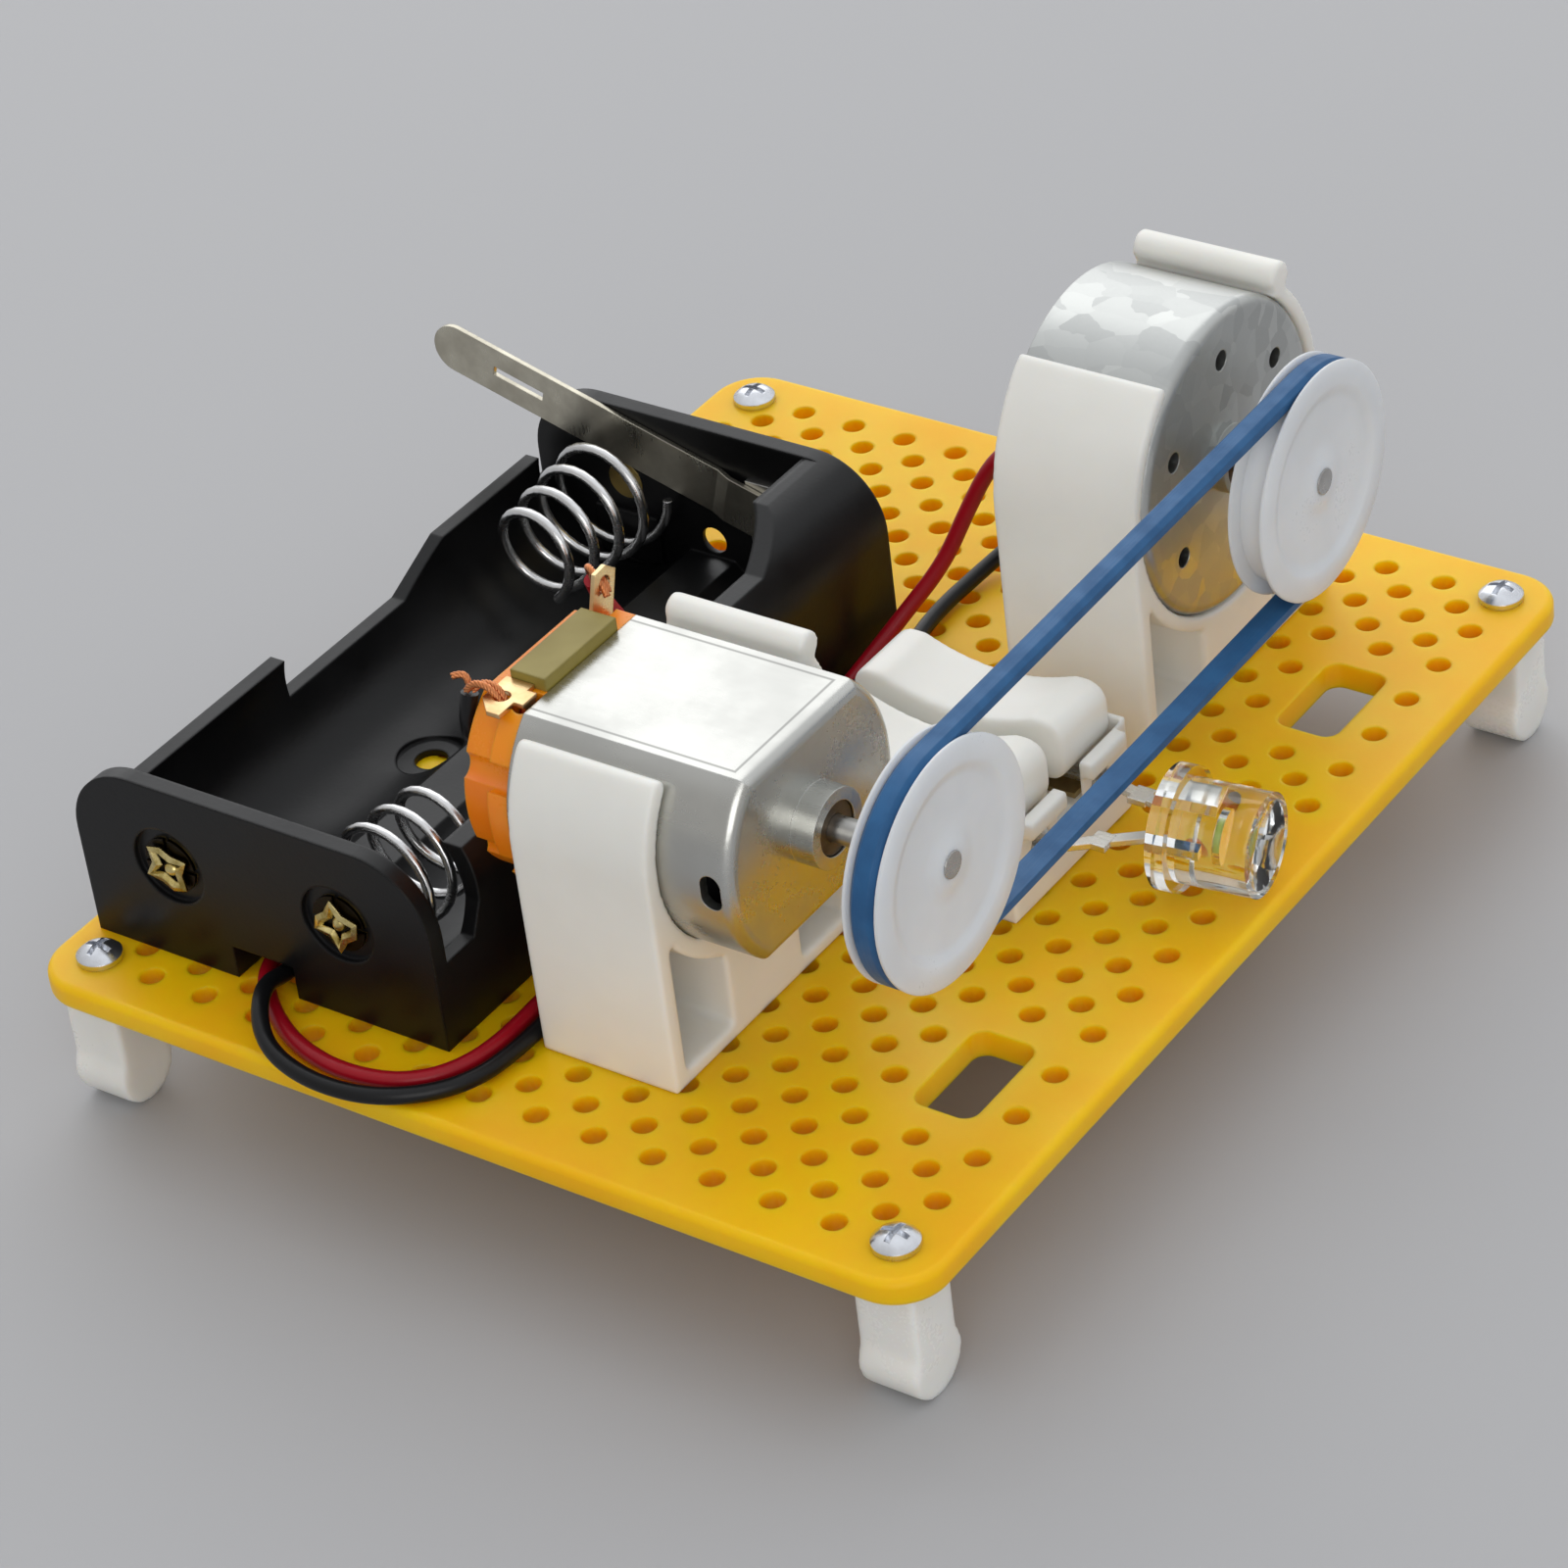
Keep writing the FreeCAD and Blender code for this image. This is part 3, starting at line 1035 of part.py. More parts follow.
def make_magnets():
    """Two curved magnets against the can's round sides."""
    outer = "drive_can_r - drive_wall - seat_clear"
    magnets = []
    for name, side in (("near", "-"), ("far", "")):
        ring = cylinder(f"magnet_{name}_ring", outer, "drive_magnet_long",
                        ("drive_x + drive_magnet_x", "drive_y", "drive_z"), "X")
        bore = cylinder(f"magnet_{name}_bore", "drive_magnet_in", "drive_magnet_long",
                        ("drive_x + drive_magnet_x", "drive_y", "drive_z"), "X")
        start = "drive_y - drive_can_r" if side else "drive_y + drive_magnet_from"
        zone = box(f"magnet_{name}_zone", ("drive_magnet_long", "drive_can_r - drive_magnet_from",
                                           "2 * (drive_flat - drive_wall - seat_clear)"),
                   ("drive_x + drive_magnet_x", start,
                    "drive_z - drive_flat + drive_wall + seat_clear"))
        magnets.append(common(f"magnet_{name}", cut(f"magnet_{name}_arc", ring, bore), zone))
    node("drive_magnets", group("drive_magnet_pair", *magnets))


def turned(name, base, angle):
    """A copy of a piece built about Z, turned about Z."""
    copy = doc.addObject("Part::Compound", name)
    copy.Links = [base]
    copy.Placement = FreeCAD.Placement(V(), FreeCAD.Rotation(V(0, 0, 1), angle))
    return copy


def make_rotor(who, label, comm_start):
    """Armature core, windings, commutator and brushes of one machine, built about Z then laid."""
    core_r, core_long = f"{who}_core_r", f"{who}_core_long"
    shoe_in = f"({core_r} - shoe_thick)"
    thirds = (90, 210, 330)
    window = cylinder(f"{who}_window_ring", shoe_in, core_long)
    hub = cylinder(f"{who}_window_hub", "hub_r", core_long)
    stems, gaps, coils = [], [], []
    for number, angle in enumerate(thirds):
        stem = box(f"{who}_stem_{number}", (core_r, "stem_wide", core_long),
                   ("0", "-stem_wide / 2", "0"))
        stems.append(turned(f"{who}_stem_{number}_turned", stem, angle))
        gap = box(f"{who}_gap_{number}", (core_r, "shoe_gap", core_long),
                  (f"{shoe_in} - shoe_thick / 5", "-shoe_gap / 2", "0"))
        gaps.append(turned(f"{who}_gap_{number}_turned", gap, angle + 60))
        start = "hub_r + coil_hub_gap"
        radial = f"sqrt({shoe_in} ^ 2 - (stem_wide / 2 + coil_thick) ^ 2)" \
                 f" - coil_shoe_gap - ({start})"
        bundle = box(f"{who}_coil_{number}", (radial, "stem_wide + 2 * coil_thick",
                                              f"{core_long} + 2 * coil_thick"),
                     (start, "-stem_wide / 2 - coil_thick", "-coil_thick"))
        inner = box(f"{who}_coil_{number}_bore", (radial, "stem_wide + 2 * seat_clear",
                                                  f"{core_long} + 2 * seat_clear"),
                    (start, "-stem_wide / 2 - seat_clear", "-seat_clear"))
        coils.append(turned(f"{who}_coil_{number}_turned",
                            cut(f"{who}_coil_{number}_wound", bundle, inner), angle))
    slots = cut(f"{who}_slots", window, hub, *stems)
    disc = cylinder(f"{who}_disc", core_r, core_long)
    bore = cylinder(f"{who}_core_bore", f"{who}_shaft_r", core_long)
    axis_at = (f"{who}_x + {who}_core_x", f"{who}_y", f"{who}_z")
    core = place(cut(f"{who}_core", disc, slots, bore, *gaps), axis_at, "X")
    node(f"{label}_armature_core", core)
    node(f"{label}_windings", place(group(f"{who}_coils", *coils), axis_at, "X"))
    ring = cylinder(f"{who}_comm_ring", "comm_r", "comm_long")
    hole = cylinder(f"{who}_comm_hole", f"{who}_shaft_r", "comm_long")
    slits = []
    for number, angle in enumerate(thirds):
        slit = box(f"{who}_slit_{number}", ("comm_r", "comm_slit", "comm_long"),
                   ("0", "-comm_slit / 2", "0"))
        slits.append(turned(f"{who}_slit_{number}_turned", slit, angle))
    comm = cut(f"{who}_comm", ring, hole, *slits)
    comm_at = (comm_start, f"{who}_y", f"{who}_z")
    node(f"{label}_commutator", place(comm, comm_at, "X"))
    brushes = []
    reach = "comm_r + brush_clear"
    for name, y in (("near", f"-({reach}) - brush_thick"), ("far", reach)):
        brushes.append(box(f"{who}_{name}_brush",
                           ("comm_long - 2 * brush_inset", "brush_thick", "brush_long"),
                           (f"{comm_start} + brush_inset", f"{who}_y + {y}",
                            f"{who}_z - brush_low")))
    node(f"{label}_brushes", group(f"{who}_brush_pair", *brushes))


def make_generator():
    """The flat round generator: can, rear cover, magnet ring, bushings, rotor and brushes."""
    centre = ("gen_x", "gen_y", "gen_z")
    outside = cylinder("gen_outside", "gen_can_r", "gen_long", centre, "X")
    rounded = rounded_front("gen_rounded", outside, "gen_front", "gen_rim_round", "gen_can_r - 1")
    boss_x = "gen_front - gen_wall"
    boss = cylinder("gen_boss", "gen_boss_r", "gen_boss_long + gen_wall",
                    (boss_x, "gen_y", "gen_z"), "X")
    hollow = cylinder("gen_hollow", "gen_can_r - gen_wall", "gen_long - gen_wall", centre, "X")
    bore = cylinder("gen_bore", "bush_r + seat_clear", "gen_boss_long + gen_wall",
                    (boss_x, "gen_y", "gen_z"), "X")
    holes = []
    for number, angle in enumerate((33, 92, 153, 213, 273, 333)):
        y = f"gen_y + gen_hole_ring * cos({angle})"
        z = f"gen_z + gen_hole_ring * sin({angle})"
        holes.append(cylinder(f"gen_hole_{number}", "gen_hole_r", "2 * gen_wall",
                              ("gen_front - 1.5 * gen_wall", y, z), "X"))
    body = fuse("gen_can_body", rounded, boss)
    node("generator_can", cut("gen_can", body, hollow, bore, *holes))
    plate = cylinder("gen_cover_disc", "gen_can_r - gen_wall - seat_clear", "gen_cover_thick",
                     centre, "X")
    hole = cylinder("gen_cover_bore", "bush_r + seat_clear", "gen_cover_thick", centre, "X")
    slots = [box(f"gen_{name}_slot", ("gen_cover_thick", "lug_wide + 2 * seat_clear",
                                      "lug_thick + 2 * seat_clear"),
                 ("gen_x", f"gen_y {side} gen_lug_out - lug_wide / 2 - seat_clear",
                  "gen_z - lug_thick / 2 - seat_clear"))
             for name, side in (("near", "-"), ("far", "+"))]
    node("generator_cover", cut("gen_cover", plate, hole, *slots))
    lugs = [box(f"gen_{name}_lug", ("gen_lug_in + gen_cover_thick + gen_lug_inside",
                                    "lug_wide", "lug_thick"),
                ("gen_x - gen_lug_in", f"gen_y {side} gen_lug_out - lug_wide / 2",
                 "gen_z - lug_thick / 2"))
            for name, side in (("near", "-"), ("far", "+"))]
    node("generator_lugs", group("gen_lug_pair", *lugs))
    magnet_at = ("gen_x + gen_magnet_x", "gen_y", "gen_z")
    ring = cylinder("gen_magnet_outer", "gen_can_r - gen_wall - seat_clear", "gen_magnet_long",
                    magnet_at, "X")
    ring_bore = cylinder("gen_magnet_bore", "gen_magnet_in", "gen_magnet_long", magnet_at, "X")
    node("generator_magnet", cut("gen_magnet", ring, ring_bore))
    bushings = []
    for name, start, long in (("front", boss_x, "gen_boss_long + gen_wall - bush_back"),
                              ("rear", "gen_x", "gen_cover_thick")):
        sleeve = cylinder(f"gen_{name}_sleeve", "bush_r", long, (start, "gen_y", "gen_z"), "X")
        hole = cylinder(f"gen_{name}_sleeve_bore", "gen_shaft_r + bush_clear", long,
                        (start, "gen_y", "gen_z"), "X")
        bushings.append(cut(f"gen_{name}_bushing", sleeve, hole))
    node("generator_bushings", group("gen_bushing_pair", *bushings))
    node("generator_shaft", cylinder("gen_shaft_bar", "gen_shaft_r",
                                     "shaft_end - gen_x - shaft_back",
                                     ("gen_x + shaft_back", "gen_y", "gen_z"), "X"))
    make_rotor("gen", "generator", "gen_comm_x")


def bracket(who, label, fixings):
    """A moulded saddle: two legs that run into arms round a motor, and a block under it."""
    x, y, z = f"{who}_mount_x", f"{who}_y", f"{who}_z"
    long, outer, arm = f"{who}_mount_long", f"{who}_mount_r", f"{who}_arm"
    seat = f"({who}_can_r + seat_clear)"
    ring = cylinder(f"{who}_saddle_ring", outer, long, (x, y, z), "X")
    legs = box(f"{who}_saddle_legs", (long, f"2 * {outer}", z), (x, f"{y} - {outer}", "0"))
    body = fuse(f"{who}_saddle_body", ring, legs)
    if who == "drive":
        bore = can_profile("drive_saddle_bore", seat, "drive_flat + seat_clear", x, long)
        top = box("drive_saddle_top", (long, f"2 * {seat} * cos({arm})", outer),
                  (x, f"{y} - {seat} * cos({arm})", f"{z} + drive_flat - 0.1"))
        bore = fuse("drive_saddle_space", bore, top)
    else:
        bore = cylinder(f"{who}_saddle_bore", seat, long, (x, y, z), "X")
    far = f"(2 * {outer})"
    mouth = prism(f"{who}_saddle_mouth",
                  [("0", "0"), (f"{far} * cos({arm})", f"{far} * sin({arm})"),
                   (f"-{far} * cos({arm})", f"{far} * sin({arm})")], long, (x, y, z), "side")
    pockets = []
    for name, start in (("near", f"{y} - {outer} + leg_thick"), ("far", f"{y} + {who}_block")):
        wide = f"{outer} - leg_thick - {who}_block"
        hole = box(f"{who}_{name}_pocket_box", (long, wide, f"{z} - web_thick"),
                   (x, start, "web_thick"))
        cradle = cylinder(f"{who}_{name}_pocket_top", outer, long, (x, y, z), "X")
        pockets.append(cut(f"{who}_{name}_pocket", hole, cradle))
    lip_at = f"({outer} + {who}_lip_out)"
    lip = cylinder(f"{who}_lip", f"{who}_lip_r", long,
                   (x, f"{y} + {lip_at} * cos({arm})", f"{z} + {lip_at} * sin({arm})"), "X")
    half = f"({outer} - {seat}) / 2"
    end = cylinder(f"{who}_near_end", half, long,
                   (x, f"{y} - ({seat} + {half}) * cos({arm})",
                    f"{z} + ({seat} + {half}) * sin({arm})"), "X")
    pilots = [fixing_pilot(name) for name in fixings]
    open_body = cut(f"{who}_saddle_open", body, bore, mouth, *pockets, *pilots)
    whole = fuse(f"{who}_saddle", open_body, lip, end)
    node(label, whole)


def make_pulleys():
    """Two equal pulleys with shallow faces and a groove, and the flat belt round them."""
    for label, who in (("drive_pulley", "drive"), ("generator_pulley", "gen")):
        y, z = f"{who}_y", f"{who}_z"
        at = ("pulley_x", y, z)
        disc = cylinder(label + "_disc", "pulley_r", "pulley_wide", at, "X")
        groove_at = ("pulley_x + rim_rear", y, z)
        band = cut(label + "_groove",
                   cylinder(label + "_groove_out", "pulley_r + 1", "groove_wide", groove_at, "X"),
                   cylinder(label + "_groove_in", "groove_r", "groove_wide", groove_at, "X"))
        recess_at = ("pulley_x + pulley_wide - face_recess_deep", y, z)
        recess = cut(label + "_recess",
                     cylinder(label + "_recess_out", "face_recess_r", "face_recess_deep",
                              recess_at, "X"),
                     cylinder(label + "_recess_in", "pulley_hub_r", "face_recess_deep",
                              recess_at, "X"))
        bore = cylinder(label + "_bore", f"{who}_shaft_r", "pulley_wide", at, "X")
        node(label, cut(label + "_solid", disc, band, recess, bore))
    make_belt()


def make_belt():
    """The flat belt: a closed band round both grooves, straight between them."""
    first = V(value("belt_x"), value("drive_y"), value("drive_z"))
    second = V(value("belt_x"), value("gen_y"), value("gen_z"))
    along = (second - first).normalize()
    across = V(0, -along.z, along.y)
    inner = value("groove_r + belt_clear")
    outer = inner + value("belt_thick")
    wires = []
    for radius in (outer, inner):
        start = Part.Arc(first + across * radius, first - along * radius, first - across * radius)
        stop = Part.Arc(second - across * radius, second + along * radius,
                        second + across * radius)
        low = Part.LineSegment(first - across * radius, second - across * radius)
        high = Part.LineSegment(second + across * radius, first + across * radius)
        edges = [piece.toShape() for piece in (start, low, stop, high)]
        wires.append(Part.Wire(edges))
    outside, inside = [Part.Face(wire).extrude(V(value("belt_wide"), 0, 0)) for wire in wires]
    shaped("drive_belt", outside.cut(inside))


def make_clamp_block():
    """The two-way clamp block: body with channels, two levers on one pin, clamp strips."""
    body = box("block_body", ("block_long", "block_wide", "block_high"),
               ("block_x", "block_y - block_wide / 2", "0"))
    ledges, tools = [], []
    for name, row in (("near", "near_row"), ("far", "far_row")):
        ledges.append(box(f"block_{name}_ledge", ("ledge_long + 1", "ledge_wide", "ledge_thick"),
                          ("block_end - 1", f"{row} - ledge_wide / 2",
                           "block_high - ledge_thick")))
        tools.append(box(f"block_{name}_channel",
                         ("lever_long + 2 * lever_end_gap", "lever_wide + 2 * lever_gap",
                          "block_high"),
                         ("lever_x - lever_end_gap", f"{row} - lever_wide / 2 - lever_gap",
                          "channel_floor")))
        tools.append(cylinder(f"block_{name}_entry", "entry_r", "block_long",
                              ("block_x", row, "entry_z"), "X"))
    pin_at = ("lever_x + lever_long / 2", "block_y - block_wide / 2", "pin_z")
    tools.append(cylinder("block_pin_hole", "pin_r", "block_wide", pin_at, "Y"))
    tools.append(box("block_notch", ("notch_long", "row_pitch - ledge_wide", "block_high"),
                     ("block_end - notch_long", "block_y - (row_pitch - ledge_wide) / 2",
                      "notch_floor")))
    tools += [fixing_pilot("block_a"), fixing_pilot("block_b")]
    node("clamp_block", cut("block_solid", fuse("block_outside", body, *ledges), *tools))
    strips = []
    for name, row in (("near", "near_row"), ("far", "far_row")):
        make_lever(name, row)
        strips.append(box(f"{name}_strip",
                          ("lever_long - 2 * clamp_inset", "clamp_wide", "clamp_thick"),
                          ("lever_x + clamp_inset", f"{row} - clamp_wide / 2",
                           "channel_floor")))
    node("lever_pin", cylinder("lever_pin_bar", "pin_r", "block_wide", pin_at, "Y"))
    node("clamp_strips", group("clamp_strip_pair", *strips))


def make_lever(name, row):
    """A saddle-topped clamp lever with rounded ends, hinged in the middle."""
    x, long = "lever_x", "lever_long"
    low = "lever_base"
    high = "lever_top"
    side = "lever_round"
    bar = box(f"{name}_lever_bar", (f"{long} - 2 * {side}", "lever_wide", f"{high} - {low}"),
              (f"{x} + {side}", f"{row} - lever_wide / 2", low))
    mid = box(f"{name}_lever_mid", (long, "lever_wide", f"{high} - {low} - 2 * {side}"),
              (x, f"{row} - lever_wide / 2", f"{low} + {side}"))
    rounds = []
    for number, (end, level) in enumerate(((0, 0), (0, 1), (1, 0), (1, 1))):
        at_x = f"{x} + {long} - {side}" if end else f"{x} + {side}"
        at_z = f"{high} - {side}" if level else f"{low} + {side}"
        rounds.append(cylinder(f"{name}_lever_round_{number}", side, "lever_wide",
                               (at_x, f"{row} - lever_wide / 2", at_z), "Y"))
    reach = f"(({long} / 2 - lever_shoulder) ^ 2 + lever_dip ^ 2) / (2 * lever_dip)"
    dip = cylinder(f"{name}_lever_dip", reach, "lever_wide",
                   (f"{x} + {long} / 2", f"{row} - lever_wide / 2",
                    f"{high} - lever_dip + {reach}"), "Y")
    heel = prism(f"{name}_lever_heel", [("0", "-heel_rise"), (f"{long} / 2", "-heel_rise"),
                                        (f"{long} / 2", "0"), ("0", "heel_rise")], "lever_wide",
                 (x, f"{row} + lever_wide / 2", low), "front")
    hole = cylinder(f"{name}_lever_hole", "pin_r + bush_clear", "lever_wide",
                    (f"{x} + {long} / 2", f"{row} - lever_wide / 2", "pin_z"), "Y")
    body = fuse(f"{name}_lever_body", bar, mid, *rounds)
    node(f"clamp_lever_{name}", cut(f"{name}_lever", body, dip, heel, hole))


def make_lamp():
    """The clear lamp lying in front of the clamp block, its chip and its two bent legs."""
    flange = cylinder("lamp_flange", "lamp_flange_r", "lamp_flange_long")
    barrel = cylinder("lamp_barrel", "lamp_r", "lamp_long")
    dish_ball = "((lamp_r - lamp_dish_rim) ^ 2 + lamp_dish_deep ^ 2) / (2 * lamp_dish_deep)"
    dish = sphere("lamp_dish", dish_ball, ("0", "0", f"lamp_long - lamp_dish_deep + {dish_ball}"))
    chip_room = cylinder("lamp_chip_room", "die_r + seat_clear", "die_thick + 2 * seat_clear",
                         ("0", "0", "die_x - seat_clear"))
    roots = [box(f"lamp_{name}_root", ("leg_deep + 2 * seat_clear", "leg_wide + 2 * seat_clear",
                                       "die_x - leg_root"),
                 ("-leg_deep / 2 - seat_clear", f"{side}leg_spread - leg_wide / 2 - seat_clear",
                  "0"))
             for name, side in (("near", "-"), ("far", ""))]
    lens = cut("lamp_lens_solid", fuse("lamp_outside", flange, barrel), dish, chip_room, *roots)
    holder = group("lamp_lens_laid", lens)
    chip = cylinder("lamp_chip_disc", "die_r", "die_thick", ("0", "0", "die_x"))
    chip_holder = group("lamp_chip_laid", chip)
    for label, obj in (("lamp_lens", holder), ("lamp_chip", chip_holder)):
        aimed(obj)
        node(label, obj)
    make_lamp_legs()


def aimed(obj):
    """Lay a lamp piece along +X and turn it by the lamp's yaw."""
    lay = FreeCAD.Rotation(V(0, 0, 1), value("lamp_yaw")).multiply(TURNS["X"])
    obj.Placement = FreeCAD.Placement(V(), lay)
    at = ("lamp_x", "lamp_y", "lamp_z")
    for direction, expression in zip("xyz", at):
        bind(obj, f"Placement.Base.{direction}", expression)
    PLACES[obj.Name] = at


def leg_path(row, side):
    """Corner points of one lamp leg, from its clamp to the inside of the lens."""
    yaw = math.radians(value("lamp_yaw"))
    lamp = V(value("lamp_x"), value("lamp_y"), value("lamp_z"))
    ahead = V(math.cos(yaw), math.sin(yaw), 0)
    aside = V(-math.sin(yaw), math.cos(yaw), 0) * (side * value("leg_spread"))
    clamp = V(value("block_end"), value(row), value("entry_z"))
    root = lamp + aside
    return [clamp - V(value("leg_grip"), 0, 0), clamp + V(value("leg_out"), 0, 0),
            root - ahead * value("leg_straight"), root + ahead * value("leg_inside")]


def make_lamp_legs():
    """Two flat legs that run from the clamps into the lamp, each with a stop near its middle."""
    legs = []
    wide, deep = value("leg_wide"), value("leg_deep")
    for row, side in (("near_row", -1), ("far_row", 1)):
        points = leg_path(row, side)
        spine = Part.makePolygon(points)
        start = points[0]
        section = [start + V(0, across * wide / 2, up * deep / 2)
                   for across, up in ((-1, -1), (1, -1), (1, 1), (-1, 1), (-1, -1))]
        leg = spine.makePipeShell([Part.makePolygon(section)], True, False, 1)
        middle = (points[1] + points[2]) / 2
        size = V(value("stop_long"), value("stop_wide"), deep)
        stop = Part.makeBox(size.x, size.y, size.z, middle - size / 2)
        legs.append(leg.fuse(stop).removeSplitter())
    shaped("lamp_legs", Part.Compound(legs))


def lead_tube(name, route, radius):
    """A round lead along straight runs joined by arcs, each as large as its two runs allow."""
    points = [V(*point) for point in route]
    edges, radii = [], []
    last = points[0]
    for before, corner, after in zip(points, points[1:], points[2:]):
        back = before - corner
        ahead = after - corner
        half_turn = (math.pi - back.getAngle(ahead)) / 2
        reach = 0.45 * min(back.Length, ahead.Length)
        bend = reach / math.tan(half_turn)
        radii.append(bend)
        enter = corner + back.normalize() * reach
        leave = corner + ahead.normalize() * reach
        toward = (enter + leave) / 2 - corner
        middle = corner + toward.normalize() * (bend / math.cos(half_turn) - bend)
        edges.append(Part.LineSegment(last, enter).toShape())
        edges.append(Part.Arc(enter, middle, leave).toShape())
        last = leave
    edges.append(Part.LineSegment(last, points[-1]).toShape())
    spine = Part.Wire(edges)
    section = Part.Wire(Part.Circle(points[0], points[1] - points[0], radius).toShape())
    tube = spine.makePipeShell([section], True, False)
    expected = math.pi * radius ** 2 * spine.Length
    print(f"{name}: length {spine.Length:.1f}, least radius {min(radii):.2f}, "
          f"volume ratio {tube.Volume / expected:.4f}")
    return tube


def make_leads():
    """The four leads, each in a sub-part of its own, and the bared strands at the motor's lugs."""
    for name, route in ROUTES.items():
        shaped(name, lead_tube(name, route, value("lead_r")))
    strands = []
    for name, routes in STRANDS.items():
        for number, route in enumerate(routes):
            strands.append(lead_tube(f"{name} strand {number}", route, value("strand_r")))
    shaped("bared_strands", Part.Compound(strands))


def check_and_export():
    """Stop on any failed object or bad shape, then write each sub-part's file."""
    doc.recompute()
    for obj in doc.Objects:
        if "Invalid" in obj.State or "Error" in obj.State:
            raise RuntimeError(f"{obj.Name} failed: {obj.State}")
    for obj in NODES:
        if obj.Shape.isNull() or not obj.Shape.isValid() or not obj.Shape.Solids:
            raise RuntimeError(f"{obj.Label} has no sound solid")
    os.makedirs("parts", exist_ok=True)
    for obj in NODES:
        obj.Shape.exportStep(f"parts/{obj.Label}.step")
    whole = Part.Compound([obj.Shape for obj in NODES])
    print(len(NODES), "sub-parts,", sum(len(obj.Shape.Solids) for obj in NODES), "solids,",
          "box", whole.optimalBoundingBox(False))


add_layout()
make_board()
make_feet()
make_fixings()
make_battery_box()
make_contacts()
make_blade()
make_drive_motor()
bracket("drive", "drive_bracket", ("drive_a", "drive_b"))
make_generator()
bracket("gen", "generator_bracket", ("gen_a", "gen_b"))
make_pulleys()
make_clamp_block()
make_lamp()
make_leads()
check_and_export()
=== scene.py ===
"""Looks of the demonstration electric motor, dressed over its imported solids.

Each sub-assembly is a class that holds its sizes in millimetres and builds and dresses its own
pieces. Places count from the middle of the board's upper face, as in the part's source.
"""

import logging
import math
from collections.abc import Iterable, Sequence
from dataclasses import dataclass
from enum import Enum
from typing import Union

import bmesh
import bpy
from mathutils import Matrix, Vector


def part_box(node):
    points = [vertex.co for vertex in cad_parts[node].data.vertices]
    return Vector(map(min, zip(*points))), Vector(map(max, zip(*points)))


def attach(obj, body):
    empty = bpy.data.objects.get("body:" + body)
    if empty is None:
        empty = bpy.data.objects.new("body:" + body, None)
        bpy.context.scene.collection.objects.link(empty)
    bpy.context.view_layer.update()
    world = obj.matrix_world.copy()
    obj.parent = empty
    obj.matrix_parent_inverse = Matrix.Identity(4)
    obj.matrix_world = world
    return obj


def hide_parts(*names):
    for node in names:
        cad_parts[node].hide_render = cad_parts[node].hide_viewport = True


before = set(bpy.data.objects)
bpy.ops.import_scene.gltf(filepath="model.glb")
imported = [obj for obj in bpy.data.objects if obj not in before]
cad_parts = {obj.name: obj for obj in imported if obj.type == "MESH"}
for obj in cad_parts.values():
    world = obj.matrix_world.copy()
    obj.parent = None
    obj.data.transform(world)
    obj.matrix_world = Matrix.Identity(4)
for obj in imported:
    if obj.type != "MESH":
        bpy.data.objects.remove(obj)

LOG = logging.getLogger("demonstration_motor")
MM = 0.001
Spot = tuple[float, float]
Point = tuple[float, float, float]
Colour = tuple[float, float, float]
Value = Union["Signal", float, Sequence[float]]

# Places that several pieces share, in millimetres: the shafts' Y and Z, and the cells' X and Z.
DRIVE_SHAFT: Spot = (-24.8, 17.9)
GENERATOR_SHAFT: Spot = (25.8, 18.95)
LEFT_CELL_X = -28.85
RIGHT_CELL_X = -13.25
CELL_Z = 8.4
# Vertices of a drawn shape nearer than this many millimetres become one.
WELD = 1e-4
# Colour sockets of a Mix node.
MIX_FIRST, MIX_SECOND, MIX_RESULT = 6, 7, 2


class Body(Enum):
    """Bodies of the part that the scene's own pieces ride on."""

    CHASSIS = "chassis"
    DRIVE = "drive_rotor"
    GENERATOR = "generator_rotor"
    LEVER_NEAR = "lever_near"
    LEVER_FAR = "lever_far"


class Slot(Enum):
    """Names of material slots of the record for the scene's own pieces, which take their finishes
    here instead.
    """

    BELT_BLUE = "belt_blue"
    FOOT_WHITE = "foot_white"
    LEAD_BLACK = "lead_black"
    LEAD_RED = "lead_red"
    RIVET_BRASS = "rivet_brass"
    SPRING_STEEL = "spring_steel"
    STRAND_COPPER = "strand_copper"
    WHITE_PLASTIC = "white_plastic"


# ---------------------------------------------------------------------------------------------
# Shader networks
# ---------------------------------------------------------------------------------------------


